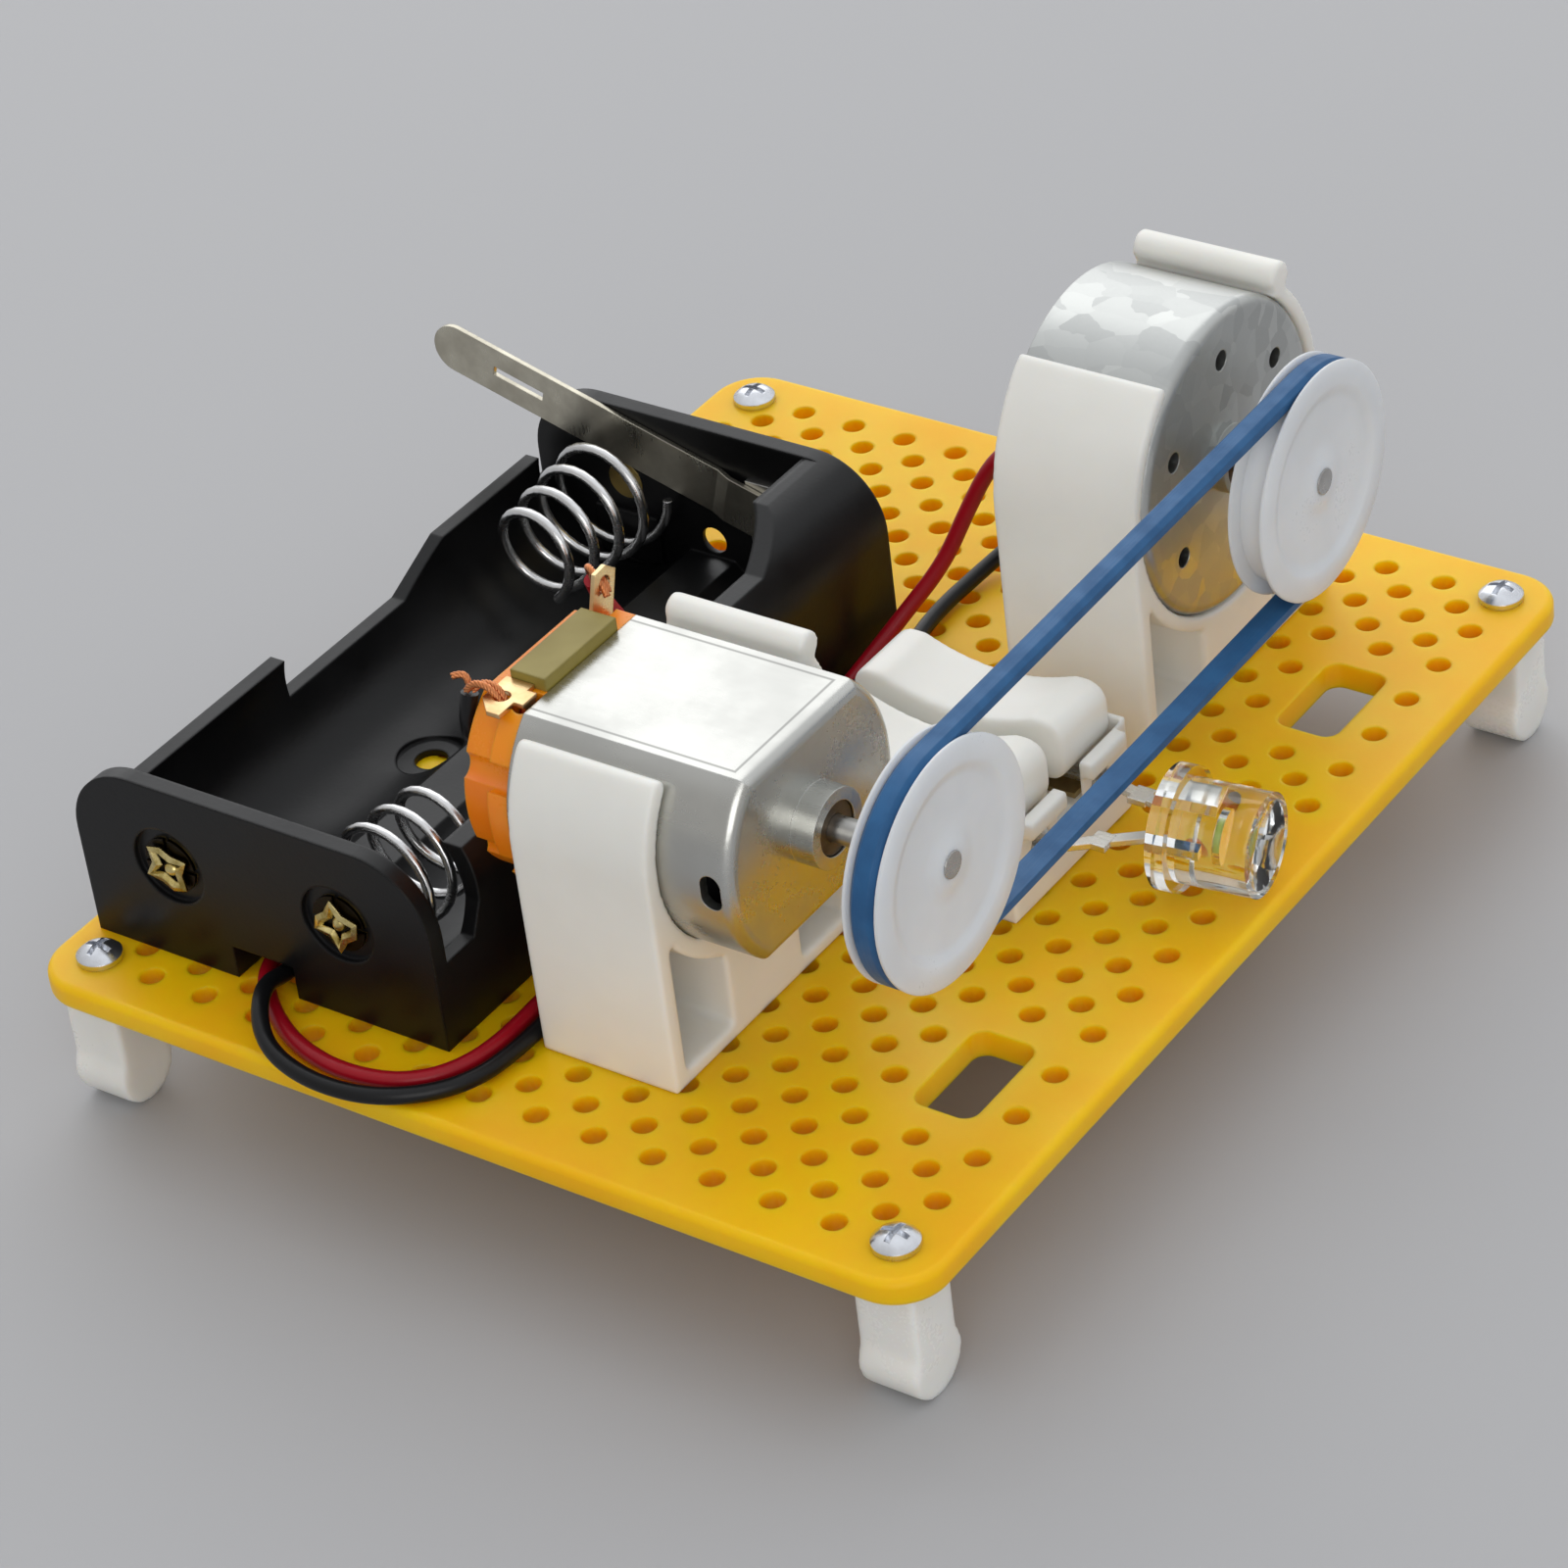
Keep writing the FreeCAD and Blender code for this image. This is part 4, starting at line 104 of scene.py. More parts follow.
class Signal:
    """One output socket of a shader node, used in sums like a number."""

    def __init__(self, net: "Network", socket: bpy.types.NodeSocket) -> None:
        """Keep the network and the socket."""
        self.net = net
        self.socket = socket

    def _sum(self, operation: str, first: Value, second: Value) -> "Signal":
        """Add one Math node for an operation on two values."""
        return self.net.add("ShaderNodeMath", {"operation": operation}, {0: first, 1: second})

    def __add__(self, other: Value) -> "Signal":
        """Sum of this signal and another value."""
        return self._sum("ADD", self, other)

    def __radd__(self, other: Value) -> "Signal":
        """Sum of another value and this signal."""
        return self._sum("ADD", other, self)

    def __sub__(self, other: Value) -> "Signal":
        """Difference between this signal and another value."""
        return self._sum("SUBTRACT", self, other)

    def __rsub__(self, other: Value) -> "Signal":
        """Difference between another value and this signal."""
        return self._sum("SUBTRACT", other, self)

    def __mul__(self, other: Value) -> "Signal":
        """Product of this signal and another value."""
        return self._sum("MULTIPLY", self, other)

    def __rmul__(self, other: Value) -> "Signal":
        """Product of another value and this signal."""
        return self._sum("MULTIPLY", other, self)

    def __truediv__(self, other: Value) -> "Signal":
        """Quotient of this signal and another value."""
        return self._sum("DIVIDE", self, other)

    def __rtruediv__(self, other: Value) -> "Signal":
        """Quotient of another value and this signal."""
        return self._sum("DIVIDE", other, self)

    def __abs__(self) -> "Signal":
        """Absolute value of this signal."""
        return self._sum("ABSOLUTE", self, 0.0)

    def __gt__(self, other: Value) -> "Signal":
        """One where this signal is above a value, otherwise zero."""
        return self._sum("GREATER_THAN", self, other)

    def __lt__(self, other: Value) -> "Signal":
        """One where this signal is below a value, otherwise zero."""
        return self._sum("LESS_THAN", self, other)

    def about(self, reach: float) -> "Signal":
        """This signal from 0 to 1 as a change of at most half the reach either way."""
        return (self - 0.5) * reach


class Network:
    """Node tree of one material, with a Principled shader at its end."""

    def __init__(self, name: str) -> None:
        """Make the material.

        Args:
            name: Name of the material.
        """
        self.material = bpy.data.materials.new(name)
        self.material.use_nodes = True
        self.tree = self.material.node_tree
        self.shader = self.tree.nodes["Principled BSDF"]

    def add(self, kind: str, settings: dict[str, object] | None = None,
            inputs: dict[int | str, Value] | None = None, output: int | str = 0) -> Signal:
        """Add a node of any type.

        Args:
            kind: Node type, such as ShaderNodeMath.
            settings: Properties, which are set before the sockets.
            inputs: Values or signals by socket name or number.
            output: Output socket that the signal stands for.

        Returns:
            The signal of the chosen output.
        """
        node = self.tree.nodes.new(kind)
        for key, setting in (settings or {}).items():
            setattr(node, key, setting)
        for key, given in (inputs or {}).items():
            self.feed(node.inputs[key], given)
        return Signal(self, node.outputs[output])

    def feed(self, socket: bpy.types.NodeSocket, given: Value) -> None:
        """Link a signal to a socket, or set the socket's own value.

        Args:
            socket: Input socket.
            given: Signal, number, colour or vector.
        """
        if isinstance(given, Signal):
            self.tree.links.new(given.socket, socket)
        elif socket.type == "RGBA" and len(given) == 3:
            socket.default_value = (*given, 1.0)
        else:
            socket.default_value = given

    def surface(self, **inputs: Value) -> None:
        """Set sockets of the Principled shader. Underscores stand for spaces in their names."""
        for key, given in inputs.items():
            self.feed(self.shader.inputs[key.replace("_", " ")], given)

    def place(self, stretch: Point = (1.0, 1.0, 1.0)) -> Signal:
        """Object coordinates in millimetres.

        Args:
            stretch: Factors on X, Y and Z.

        Returns:
            The coordinates.
        """
        where = self.add("ShaderNodeTexCoord", output="Object")
        size = tuple(factor / MM for factor in stretch)
        return self.add("ShaderNodeMapping", {}, {"Vector": where, "Scale": size})

    def noise(self, scale: float, detail: float = 2.0, stretch: Point = (1.0, 1.0, 1.0),
              rough: float = 0.5) -> Signal:
        """Noise from 0 to 1.

        Args:
            scale: Cells to the millimetre.
            detail: Octaves of finer noise.
            stretch: Factors on X, Y and Z.
            rough: Weight of the finer octaves.

        Returns:
            The noise.
        """
        return self.add("ShaderNodeTexNoise", {"noise_dimensions": "3D"},
                        {"Vector": self.place(stretch), "Scale": scale, "Detail": detail,
                         "Roughness": rough})

    def ramp(self, signal: Signal, low: float, high: float) -> Signal:
        """A signal spread from 0 at low to 1 at high, and held outside."""
        return self.add("ShaderNodeMapRange", {"clamp": True, "interpolation_type": "SMOOTHSTEP"},
                        {"Value": signal, "From Min": low, "From Max": high})

    def blend(self, share: Value, first: Value, second: Value) -> Signal:
        """Colour between two colours, the second where the share is 1."""
        return self.add("ShaderNodeMix", {"data_type": "RGBA"},
                        {"Factor": share, MIX_FIRST: first, MIX_SECOND: second}, MIX_RESULT)

    def axis(self, name: str) -> Signal:
        """One Object coordinate, X, Y or Z, in metres."""
        where = self.add("ShaderNodeTexCoord", output="Object")
        return self.add("ShaderNodeSeparateXYZ", {}, {"Vector": where}, output=name)

    def relief(self, height: Signal, depth: float, rounding: float = 0.0) -> None:
        """Bump the surface, over edges that are rounded in the shading.

        Args:
            height: Signal from 0 to 1.
            depth: Depth of the relief in millimetres.
            rounding: Radius in millimetres that softens sharp edges.
        """
        inputs: dict[int | str, Value] = {"Height": height, "Distance": depth * MM,
                                          "Strength": 1.0}
        if rounding:
            inputs["Normal"] = self.add("ShaderNodeBevel", {"samples": 4},
                                        {"Radius": rounding * MM})
        self.surface(Normal=self.add("ShaderNodeBump", {}, inputs))


# ---------------------------------------------------------------------------------------------
# Finishes. Patterns count in cells to the millimetre, lengths in millimetres.
# ---------------------------------------------------------------------------------------------


@dataclass(frozen=True)
class MouldedPlastic:
    """Opaque or milky moulded plastic with slow mottling and a fine moulded skin."""

    name: str
    colour: Colour
    shade: Colour
    roughness: float = 0.4
    mottle: float = 0.12
    skin: float = 0.01
    milky: float = 0.0
    rounding: float = 0.3
    bleed: Colour = (1.0, 0.8, 0.6)
    bleed_depth: float = 1.6
    gloss: float = 0.5
    index: float = 1.5
    grain: float = 3.5
    pebble: float = 0.9
    cloudy: float = 0.12
    grainy: float = 0.1

    def build(self) -> bpy.types.Material:
        """Make the material.

        Returns:
            The material.
        """
        net = Network(self.name)
        cloud = net.ramp(net.noise(self.mottle, detail=3.0), low=0.3, high=0.7)
        grain = net.noise(self.grain, detail=3.0)
        rough = self.roughness + cloud.about(self.cloudy) + grain.about(self.grainy)
        net.surface(Base_Color=net.blend(cloud, self.colour, self.shade), Roughness=rough)
        net.surface(Subsurface_Weight=self.milky, Subsurface_Radius=self.bleed,
                    Subsurface_Scale=self.bleed_depth * MM, IOR=self.index,
                    Specular_IOR_Level=self.gloss)
        net.relief(grain * 0.5 + net.noise(self.pebble) * 0.5, self.skin, self.rounding)
        return net.material


@dataclass(frozen=True)
class PressedLineShade:
    """Painted shade along a line pressed just inside the edges of the drive can's flat top, in
    frame millimetres.
    """

    middle: float = -24.8
    half_width: float = 5.95
    front: float = 20.75
    top: float = 37.4
    fades_from: float = 0.05
    fades_to: float = 0.16
    share: float = 0.8

    def line(self, net: Network) -> Signal:
        """Find the line on the metal that takes the painted shade.

        Args:
            net: Network of the can's metal.

        Returns:
            The share of painted shade on the line, and 0 beside it and below the flat top.
        """
        across = abs(net.axis("Y") / MM - self.middle) - self.half_width
        along = net.axis("X") / MM - self.front
        edge = net.add("ShaderNodeMath", {"operation": "MAXIMUM"}, {0: across, 1: along})
        near = net.ramp(abs(edge), low=self.fades_to, high=self.fades_from)
        return near * (net.axis("Z") > self.top * MM) * self.share


@dataclass(frozen=True)
class PlatedMetal:
    """Plated or bare metal with smears and fine scratches along one axis.

    Optional painted shade darkens the pressed line of a flat top, and optional near-black
    painted shade covers what lies in front of a given Y of the frame, in millimetres.
    """

    name: str
    colour: Colour
    shade: Colour
    roughness: float = 0.28
    smear: float = 0.25
    scratch: Point = (0.05, 6.0, 6.0)
    depth: float = 0.004
    rounding: float = 0.12
    # Painted shade along a pressed line, and its darkness as a share of the shade colour.
    pressed_shade: PressedLineShade | None = None
    pressed_shade_dim: float = 0.45
    # Near-black painted shade over all in front of this Y, in millimetres, and its colour.
    painted_shade_before: float | None = None
    painted_shade_colour: Colour = (0.02, 0.014, 0.008)
    cloudy: float = 0.14
    scratched: float = 0.16

    def build(self) -> bpy.types.Material:
        """Make the material.

        Returns:
            The material.
        """
        net = Network(self.name)
        cloud = net.ramp(net.noise(self.smear, detail=4.0, rough=0.6), low=0.32, high=0.68)
        lines = net.noise(1.0, detail=3.0, stretch=self.scratch)
        tone = net.blend(cloud, self.colour, self.shade)
        # Painted shade along the pressed line of the flat top.
        if self.pressed_shade is not None:
            pressed_shade_tone = tuple(self.pressed_shade_dim * part for part in self.shade)
            tone = net.blend(self.pressed_shade.line(net), tone, pressed_shade_tone)
        # Near-black painted shade on all in front of the given Y.
        if self.painted_shade_before is not None:
            tone = net.blend(net.axis("Y") < self.painted_shade_before * MM, tone, self.painted_shade_colour)
        rough = self.roughness + cloud * self.cloudy + lines.about(self.scratched)
        net.surface(Base_Color=tone, Roughness=rough, Metallic=1.0)
        net.relief(lines, self.depth, self.rounding)
        return net.material


@dataclass(frozen=True)
class Spangle:
    """Zinc-bright drawn can: crystal patches on a satin metal."""

    name: str
    colour: Colour
    shade: Colour
    roughness: float = 0.3
    patch: float = 0.55
    stretch: Point = (0.6, 1.0, 1.0)
    wander: float = 0.5
    grain: float = 4.0
    patchy: float = 0.15
    grainy: float = 0.12
    depth: float = 0.008
    rounding: float = 0.15

    def build(self) -> bpy.types.Material:
        """Make the material.

        Returns:
            The material.
        """
        net = Network(self.name)
        where = net.add("ShaderNodeVectorMath", {"operation": "ADD"},
                        {0: net.place(self.stretch), 1: net.noise(self.wander)})
        flake = net.add("ShaderNodeTexVoronoi", {"feature": "F1"},
                        {"Vector": where, "Scale": self.patch}, output="Color")
        flake = net.add("ShaderNodeSeparateColor", {}, {"Color": flake})
        fine = net.noise(self.grain, detail=3.0)
        rough = self.roughness + flake * self.patchy + fine.about(self.grainy)
        net.surface(Base_Color=net.blend(flake, self.colour, self.shade), Roughness=rough,
                    Metallic=1.0)
        net.relief(flake * 0.6 + fine * 0.4, self.depth, self.rounding)
        return net.material


@dataclass(frozen=True)
class ClearResin:
    """Water-clear cast resin."""

    name: str
    colour: Colour
    roughness: float = 0.03
    index: float = 1.49
    wave: float = 0.35
    wavy: float = 0.03
    depth: float = 0.02

    def build(self) -> bpy.types.Material:
        """Make the material.

        Returns:
            The material.
        """
        net = Network(self.name)
        wave = net.noise(self.wave)
        net.surface(Base_Color=self.colour, Roughness=self.roughness + wave * self.wavy)
        net.surface(Transmission_Weight=1.0, IOR=self.index)
        net.relief(wave, self.depth)
        return net.material


@dataclass(frozen=True)
class Rubber:
    """Elastic band with a faint rib along it and a dusty bloom."""

    name: str
    colour: Colour
    shade: Colour
    roughness: float = 0.5
    mottle: float = 0.4
    rib: Point = (5.0, 0.15, 0.15)
    cloudy: float = 0.12
    ribbed: float = 0.1
    bloom: float = 0.06
    bloom_roughness: float = 0.4
    depth: float = 0.03
    rounding: float = 0.15

    def build(self) -> bpy.types.Material:
        """Make the material.

        Returns:
            The material.
        """
        net = Network(self.name)
        cloud = net.ramp(net.noise(self.mottle, detail=4.0), low=0.3, high=0.7)
        ribs = net.noise(1.0, stretch=self.rib)
        rough = self.roughness + cloud * self.cloudy + ribs.about(self.ribbed)
        net.surface(Base_Color=net.blend(cloud, self.colour, self.shade), Roughness=rough)
        net.surface(Sheen_Weight=self.bloom, Sheen_Roughness=self.bloom_roughness)
        net.relief(ribs, self.depth, self.rounding)
        return net.material


@dataclass(frozen=True)
class Insulation:
    """Soft extruded insulation of a lead."""

    name: str
    colour: Colour
    shade: Colour
    roughness: float = 0.34
    mottle: float = 0.5
    grain: float = 5.0
    cloudy: float = 0.15
    grainy: float = 0.08
    gloss: float = 0.3
    depth: float = 0.006

    def build(self) -> bpy.types.Material:
        """Make the material.

        Returns:
            The material.
        """
        net = Network(self.name)
        cloud = net.noise(self.mottle, detail=3.0)
        fine = net.noise(self.grain)
        rough = self.roughness + cloud.about(self.cloudy) + fine.about(self.grainy)
        net.surface(Base_Color=net.blend(cloud, self.colour, self.shade), Roughness=rough)
        net.surface(Specular_IOR_Level=self.gloss)
        net.relief(fine, self.depth)
        return net.material


Finish = MouldedPlastic | PlatedMetal | Spangle | ClearResin | Rubber | Insulation

BOARD_YELLOW = MouldedPlastic("board_yellow", (0.97, 0.545, 0.0015), (0.96, 0.475, 0.001),
                              roughness=0.38, milky=0.7, skin=0.012, rounding=0.35,
                              bleed=(1.8, 1.1, 0.08), gloss=0.25)
WHITE = MouldedPlastic("white_plastic", (0.86, 0.85, 0.80), (0.82, 0.81, 0.76),
                       roughness=0.36, milky=0.25)
NYLON = MouldedPlastic("pulley_nylon", (0.76, 0.78, 0.80), (0.70, 0.72, 0.74),
                       roughness=0.34, milky=0.3, rounding=0.2)
MILKY = MouldedPlastic("foot_milky", (0.86, 0.85, 0.81), (0.80, 0.79, 0.74), roughness=0.32,
                       milky=0.6, rounding=0.5)
BLACK = MouldedPlastic("box_black", (0.0032, 0.0032, 0.0034), (0.0055, 0.0055, 0.006),
                       roughness=0.36, skin=0.014, gloss=0.28)
AMBER = MouldedPlastic("cap_amber", (0.95, 0.30, 0.006), (0.84, 0.20, 0.003), roughness=0.3,
                       milky=0.35, rounding=0.2, bleed=(1.0, 0.4, 0.05))
OLIVE = MouldedPlastic("pad_olive", (0.30, 0.24, 0.045), (0.22, 0.17, 0.03), roughness=0.5)
BROWN = MouldedPlastic("cover_brown", (0.12, 0.055, 0.025), (0.09, 0.04, 0.02), roughness=0.45)
# Its flat top carries painted shade along the pressed line.
CAN = PlatedMetal("can_steel", (0.57, 0.57, 0.54), (0.50, 0.50, 0.475), roughness=0.22,
                  smear=0.12, scratch=(0.4, 3.0, 3.0), depth=0.0015, pressed_shade=PressedLineShade())
ROUND_CAN = Spangle("round_can_steel", (0.56, 0.57, 0.55), (0.45, 0.46, 0.45))
NICKEL = PlatedMetal("blade_nickel", (0.60, 0.57, 0.47), (0.47, 0.44, 0.36), roughness=0.26,
                     scratch=(6.0, 6.0, 0.1))
SPRING = PlatedMetal("spring_steel", (0.82, 0.82, 0.82), (0.66, 0.66, 0.66), roughness=0.16)
ZINC = PlatedMetal("screw_zinc", (0.78, 0.80, 0.84), (0.62, 0.63, 0.66), roughness=0.16)
SHAFT = PlatedMetal("shaft_steel", (0.56, 0.55, 0.53), (0.42, 0.41, 0.40), roughness=0.26)
CONTACT = PlatedMetal("contact_steel", (0.62, 0.61, 0.58), (0.5, 0.49, 0.46))
# Its part in front of Y -39.3, the rivet hollows on the near wall, takes near-black painted shade.
BRASS = PlatedMetal("rivet_brass", (0.72, 0.54, 0.20), (0.50, 0.36, 0.12), roughness=0.26,
                    painted_shade_before=-39.3)
CLAW = PlatedMetal("claw_brass", (0.80, 0.66, 0.30), (0.36, 0.27, 0.07), roughness=0.22,
                   smear=0.9)
LUG = PlatedMetal("lug_brass", (0.86, 0.66, 0.36), (0.72, 0.44, 0.20), roughness=0.26)
COPPER = PlatedMetal("bare_copper", (0.66, 0.25, 0.10), (0.36, 0.11, 0.05), roughness=0.32)
COIL = PlatedMetal("coil_copper", (0.52, 0.17, 0.05), (0.38, 0.11, 0.03), roughness=0.3)
FERRITE = PlatedMetal("magnet_ferrite", (0.10, 0.10, 0.11), (0.07, 0.07, 0.08), roughness=0.5)
# Bronze bushings darkened as painted shade of the dark gap round each shaft.
BRONZE_PAINTED_SHADE = PlatedMetal("bush_bronze", (0.16, 0.12, 0.08), (0.10, 0.075, 0.05), roughness=0.4)
CORE = PlatedMetal("core_steel", (0.28, 0.28, 0.29), (0.2, 0.2, 0.21), roughness=0.4,
                   scratch=(8.0, 0.3, 0.3))
TINNED = PlatedMetal("leg_tinned", (0.82, 0.81, 0.78), (0.68, 0.67, 0.64), roughness=0.2)
CLAMP = PlatedMetal("clamp_metal", (0.60, 0.46, 0.22), (0.42, 0.31, 0.14), roughness=0.3)
RESIN = ClearResin("lens_clear", (0.97, 0.985, 0.975))
CHIP = MouldedPlastic("chip_green", (0.62, 0.74, 0.16), (0.5, 0.62, 0.1))
BLUE = Rubber("belt_blue", (0.010, 0.105, 0.27), (0.007, 0.080, 0.215))
LEAD_BLACK = Insulation("lead_black", (0.0035, 0.0035, 0.004), (0.006, 0.006, 0.007))
LEAD_RED = Insulation("lead_red", (0.38, 0.003, 0.013), (0.28, 0.002, 0.009))

DRESS: dict[str, Finish] = {
    "base_board": BOARD_YELLOW,
    "foot_near_left": MILKY,
    "foot_near_right": MILKY,
    "foot_far_left": MILKY,
    "foot_far_right": MILKY,
    "foot_screws": ZINC,
    "board_screws": ZINC,
    "battery_box": BLACK,
    "near_flat_contact": CONTACT,
    "near_spring_plate": CONTACT,
    "pivot_contact": CONTACT,
    "contact_rivets": BRASS,
    "blade_rivet": BRASS,
    "far_spring_tab": BLACK,
    "near_spring": SPRING,
    "far_spring": SPRING,
    "switch_blade": NICKEL,
    "drive_motor_can": CAN,
    "drive_end_cap": AMBER,
    "cap_pad": OLIVE,
    "drive_lugs": LUG,
    "drive_magnets": FERRITE,
    "drive_bushings": BRONZE_PAINTED_SHADE,
    "drive_shaft": SHAFT,
    "drive_armature_core": CORE,
    "drive_windings": COIL,
    "drive_commutator": COPPER,
    "drive_brushes": COPPER,
    "drive_bracket": WHITE,
    "generator_can": ROUND_CAN,
    "generator_cover": BROWN,
    "generator_lugs": LUG,
    "generator_magnet": FERRITE,
    "generator_bushings": BRONZE_PAINTED_SHADE,
    "generator_shaft": SHAFT,
    "generator_armature_core": CORE,
    "generator_windings": COIL,
    "generator_commutator": COPPER,
    "generator_brushes": COPPER,
    "generator_bracket": WHITE,
    "drive_pulley": NYLON,
    "generator_pulley": NYLON,
    "drive_belt": BLUE,
    "clamp_block": WHITE,
    "clamp_lever_near": WHITE,
    "clamp_lever_far": WHITE,
    "lever_pin": SHAFT,
    "clamp_strips": CLAMP,
    "lamp_lens": RESIN,
    "lamp_chip": CHIP,
    "lamp_legs": TINNED,
    "battery_lead_black": LEAD_BLACK,
    "battery_lead_red": LEAD_RED,
    "generator_lead_black": LEAD_BLACK,
    "generator_lead_red": LEAD_RED,
    "bared_strands": COPPER,
}


class Palette:
    """Materials made once from their finishes."""

    def __init__(self) -> None:
        """Start with no material."""
        self.made: dict[str, bpy.types.Material] = {}

    def get(self, finish: Finish) -> bpy.types.Material:
        """Material of a finish.

        Args:
            finish: The finish.

        Returns:
            The material, made at its first use.
        """
        if finish.name not in self.made:
            self.made[finish.name] = finish.build()
        return self.made[finish.name]


# ---------------------------------------------------------------------------------------------
# Bench: where pieces are shaped and handed to the frame
# ---------------------------------------------------------------------------------------------


def add_object(name: str, data: bpy.types.ID) -> bpy.types.Object:
    """Make an object and link it to the scene.

    Args:
        name: Name of the object.
        data: Its mesh, curve, camera or lamp.

    Returns:
        The object, at the origin and unscaled.
    """
    obj = bpy.data.objects.new(name, data)
    bpy.context.scene.collection.objects.link(obj)
    return obj


def add_mesh(name: str, shape: bmesh.types.BMesh) -> bpy.types.Object:
    """Make an object of a finished shape.

    Args:
        name: Name of the object and of its mesh.
        shape: The shape, in metres. It is freed here.

    Returns:
        The object, at the origin and unscaled.
    """
    mesh = bpy.data.meshes.new(name)
    shape.to_mesh(mesh)
    shape.free()
    return add_object(name, mesh)


def round_curve(name: str, radius: float, fineness: int) -> bpy.types.Curve:
    """Make an empty curve with a round section and closed ends.

    Args:
        name: Name of the curve.
        radius: Radius in millimetres.
        fineness: Blender's bevel resolution of the section.

    Returns:
        The curve.
    """
    curve = bpy.data.curves.new(name, "CURVE")
    curve.dimensions = "3D"
    curve.bevel_depth = radius * MM
    curve.bevel_resolution = fineness
    curve.use_fill_caps = True
    return curve


def add_run(curve: bpy.types.Curve, places: Sequence[Vector]) -> None:
    """Add one smooth open run to a curve.

    Args:
        curve: The curve.
        places: Route of the run in the frame's metres.
    """
    spline = curve.splines.new("NURBS")
    spline.points.add(len(places) - 1)
    for point, place in zip(spline.points, places):
        point.co = (*place, 1.0)
    spline.order_u = 3
    spline.use_endpoint_u = True


class Bench:
    """Turns shapes into pieces that ride on bodies, in the frame's metres."""

    def __init__(self) -> None:
        """Read the board's place from the frame."""
        low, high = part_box("base_board")
        self.board = Vector(((low.x + high.x) / 2, (low.y + high.y) / 2, high.z))
        self.palette = Palette()

    def metres(self, point: Sequence[float]) -> Vector:
        """Place in the frame of a point in millimetres from the board's middle."""
        return self.board + Vector(point) * MM

    def dress(self, node: str, finish: Finish) -> None:
        """Give a CAD node its finish, in all of its material slots.

        Args:
            node: Name of the node.
            finish: Finish of its whole surface.
        """
        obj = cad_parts[node]
        material = self.palette.get(finish)
        if not obj.material_slots:
            obj.data.materials.append(material)
        for slot in obj.material_slots:
            slot.material = material

    def hand_in(self, obj: bpy.types.Object, finish: Finish, body: Body,
                nodes: Sequence[str] = ()) -> None:
        """Finish a piece, put it on its body and let it stand for CAD nodes.

        Args:
            obj: The piece.
            finish: Finish of its whole surface.
            body: Body that it rides on.
            nodes: CAD nodes that it replaces.
        """
        obj.data.materials.clear()
        obj.data.materials.append(self.palette.get(finish))
        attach(obj, body.value)
        if nodes:
            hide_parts(*nodes)
        LOG.info("%s rides on %s", obj.name, body.value)

    def solid(self, name: str, shape: bmesh.types.BMesh, sharp: float) -> bpy.types.Object:
        """Make an object of a shape drawn in millimetres from the board's middle.

        Args:
            name: Name of the piece.
            shape: The shape. It is freed here.
            sharp: Edges of at least this many degrees stay sharp.

        Returns:
            The object, at the origin and unscaled.
        """
        bmesh.ops.remove_doubles(shape, verts=shape.verts, dist=WELD)
        bmesh.ops.recalc_face_normals(shape, faces=shape.faces)
        bmesh.ops.transform(shape, verts=shape.verts,
                            matrix=Matrix.Translation(self.board) @ Matrix.Scale(MM, 4))
        for face in shape.faces:
            face.smooth = True
        limit = math.radians(sharp)
        for edge in shape.edges:
            edge.smooth = len(edge.link_faces) == 2 and edge.calc_face_angle(0) < limit
        return add_mesh(name, shape)

    def line(self, name: str, points: Iterable[Sequence[float]], radius: float
             ) -> bpy.types.Object:
        """Make a smooth round cord along a route.

        Args:
            name: Name of the piece.
            points: Route in millimetres from the board's middle.
            radius: Radius in millimetres.

        Returns:
            A curve object of one open spline.
        """
        curve = round_curve(name, radius, fineness=5)
        curve.resolution_u = 10
        add_run(curve, [self.metres(point) for point in points])
        return add_object(name, curve)


# ---------------------------------------------------------------------------------------------
# Studio
# ---------------------------------------------------------------------------------------------


@dataclass(frozen=True)
class Lamp:
    """A square soft lamp. Lengths in millimetres, power in watts."""

    name: str
    at: Point
    size: float
    power: float

    def build(self, aim: Point) -> None:
        """Make the lamp.

        Args:
            aim: Point that it faces.
        """
        data = bpy.data.lights.new(self.name, "AREA")
        data.shape = "SQUARE"
        data.size = self.size * MM
        data.energy = self.power
        lamp = add_object(self.name, data)
        lamp.location = Vector(self.at) * MM
        lamp.rotation_euler = (Vector(aim) - Vector(self.at)).to_track_quat("-Z", "Y").to_euler()


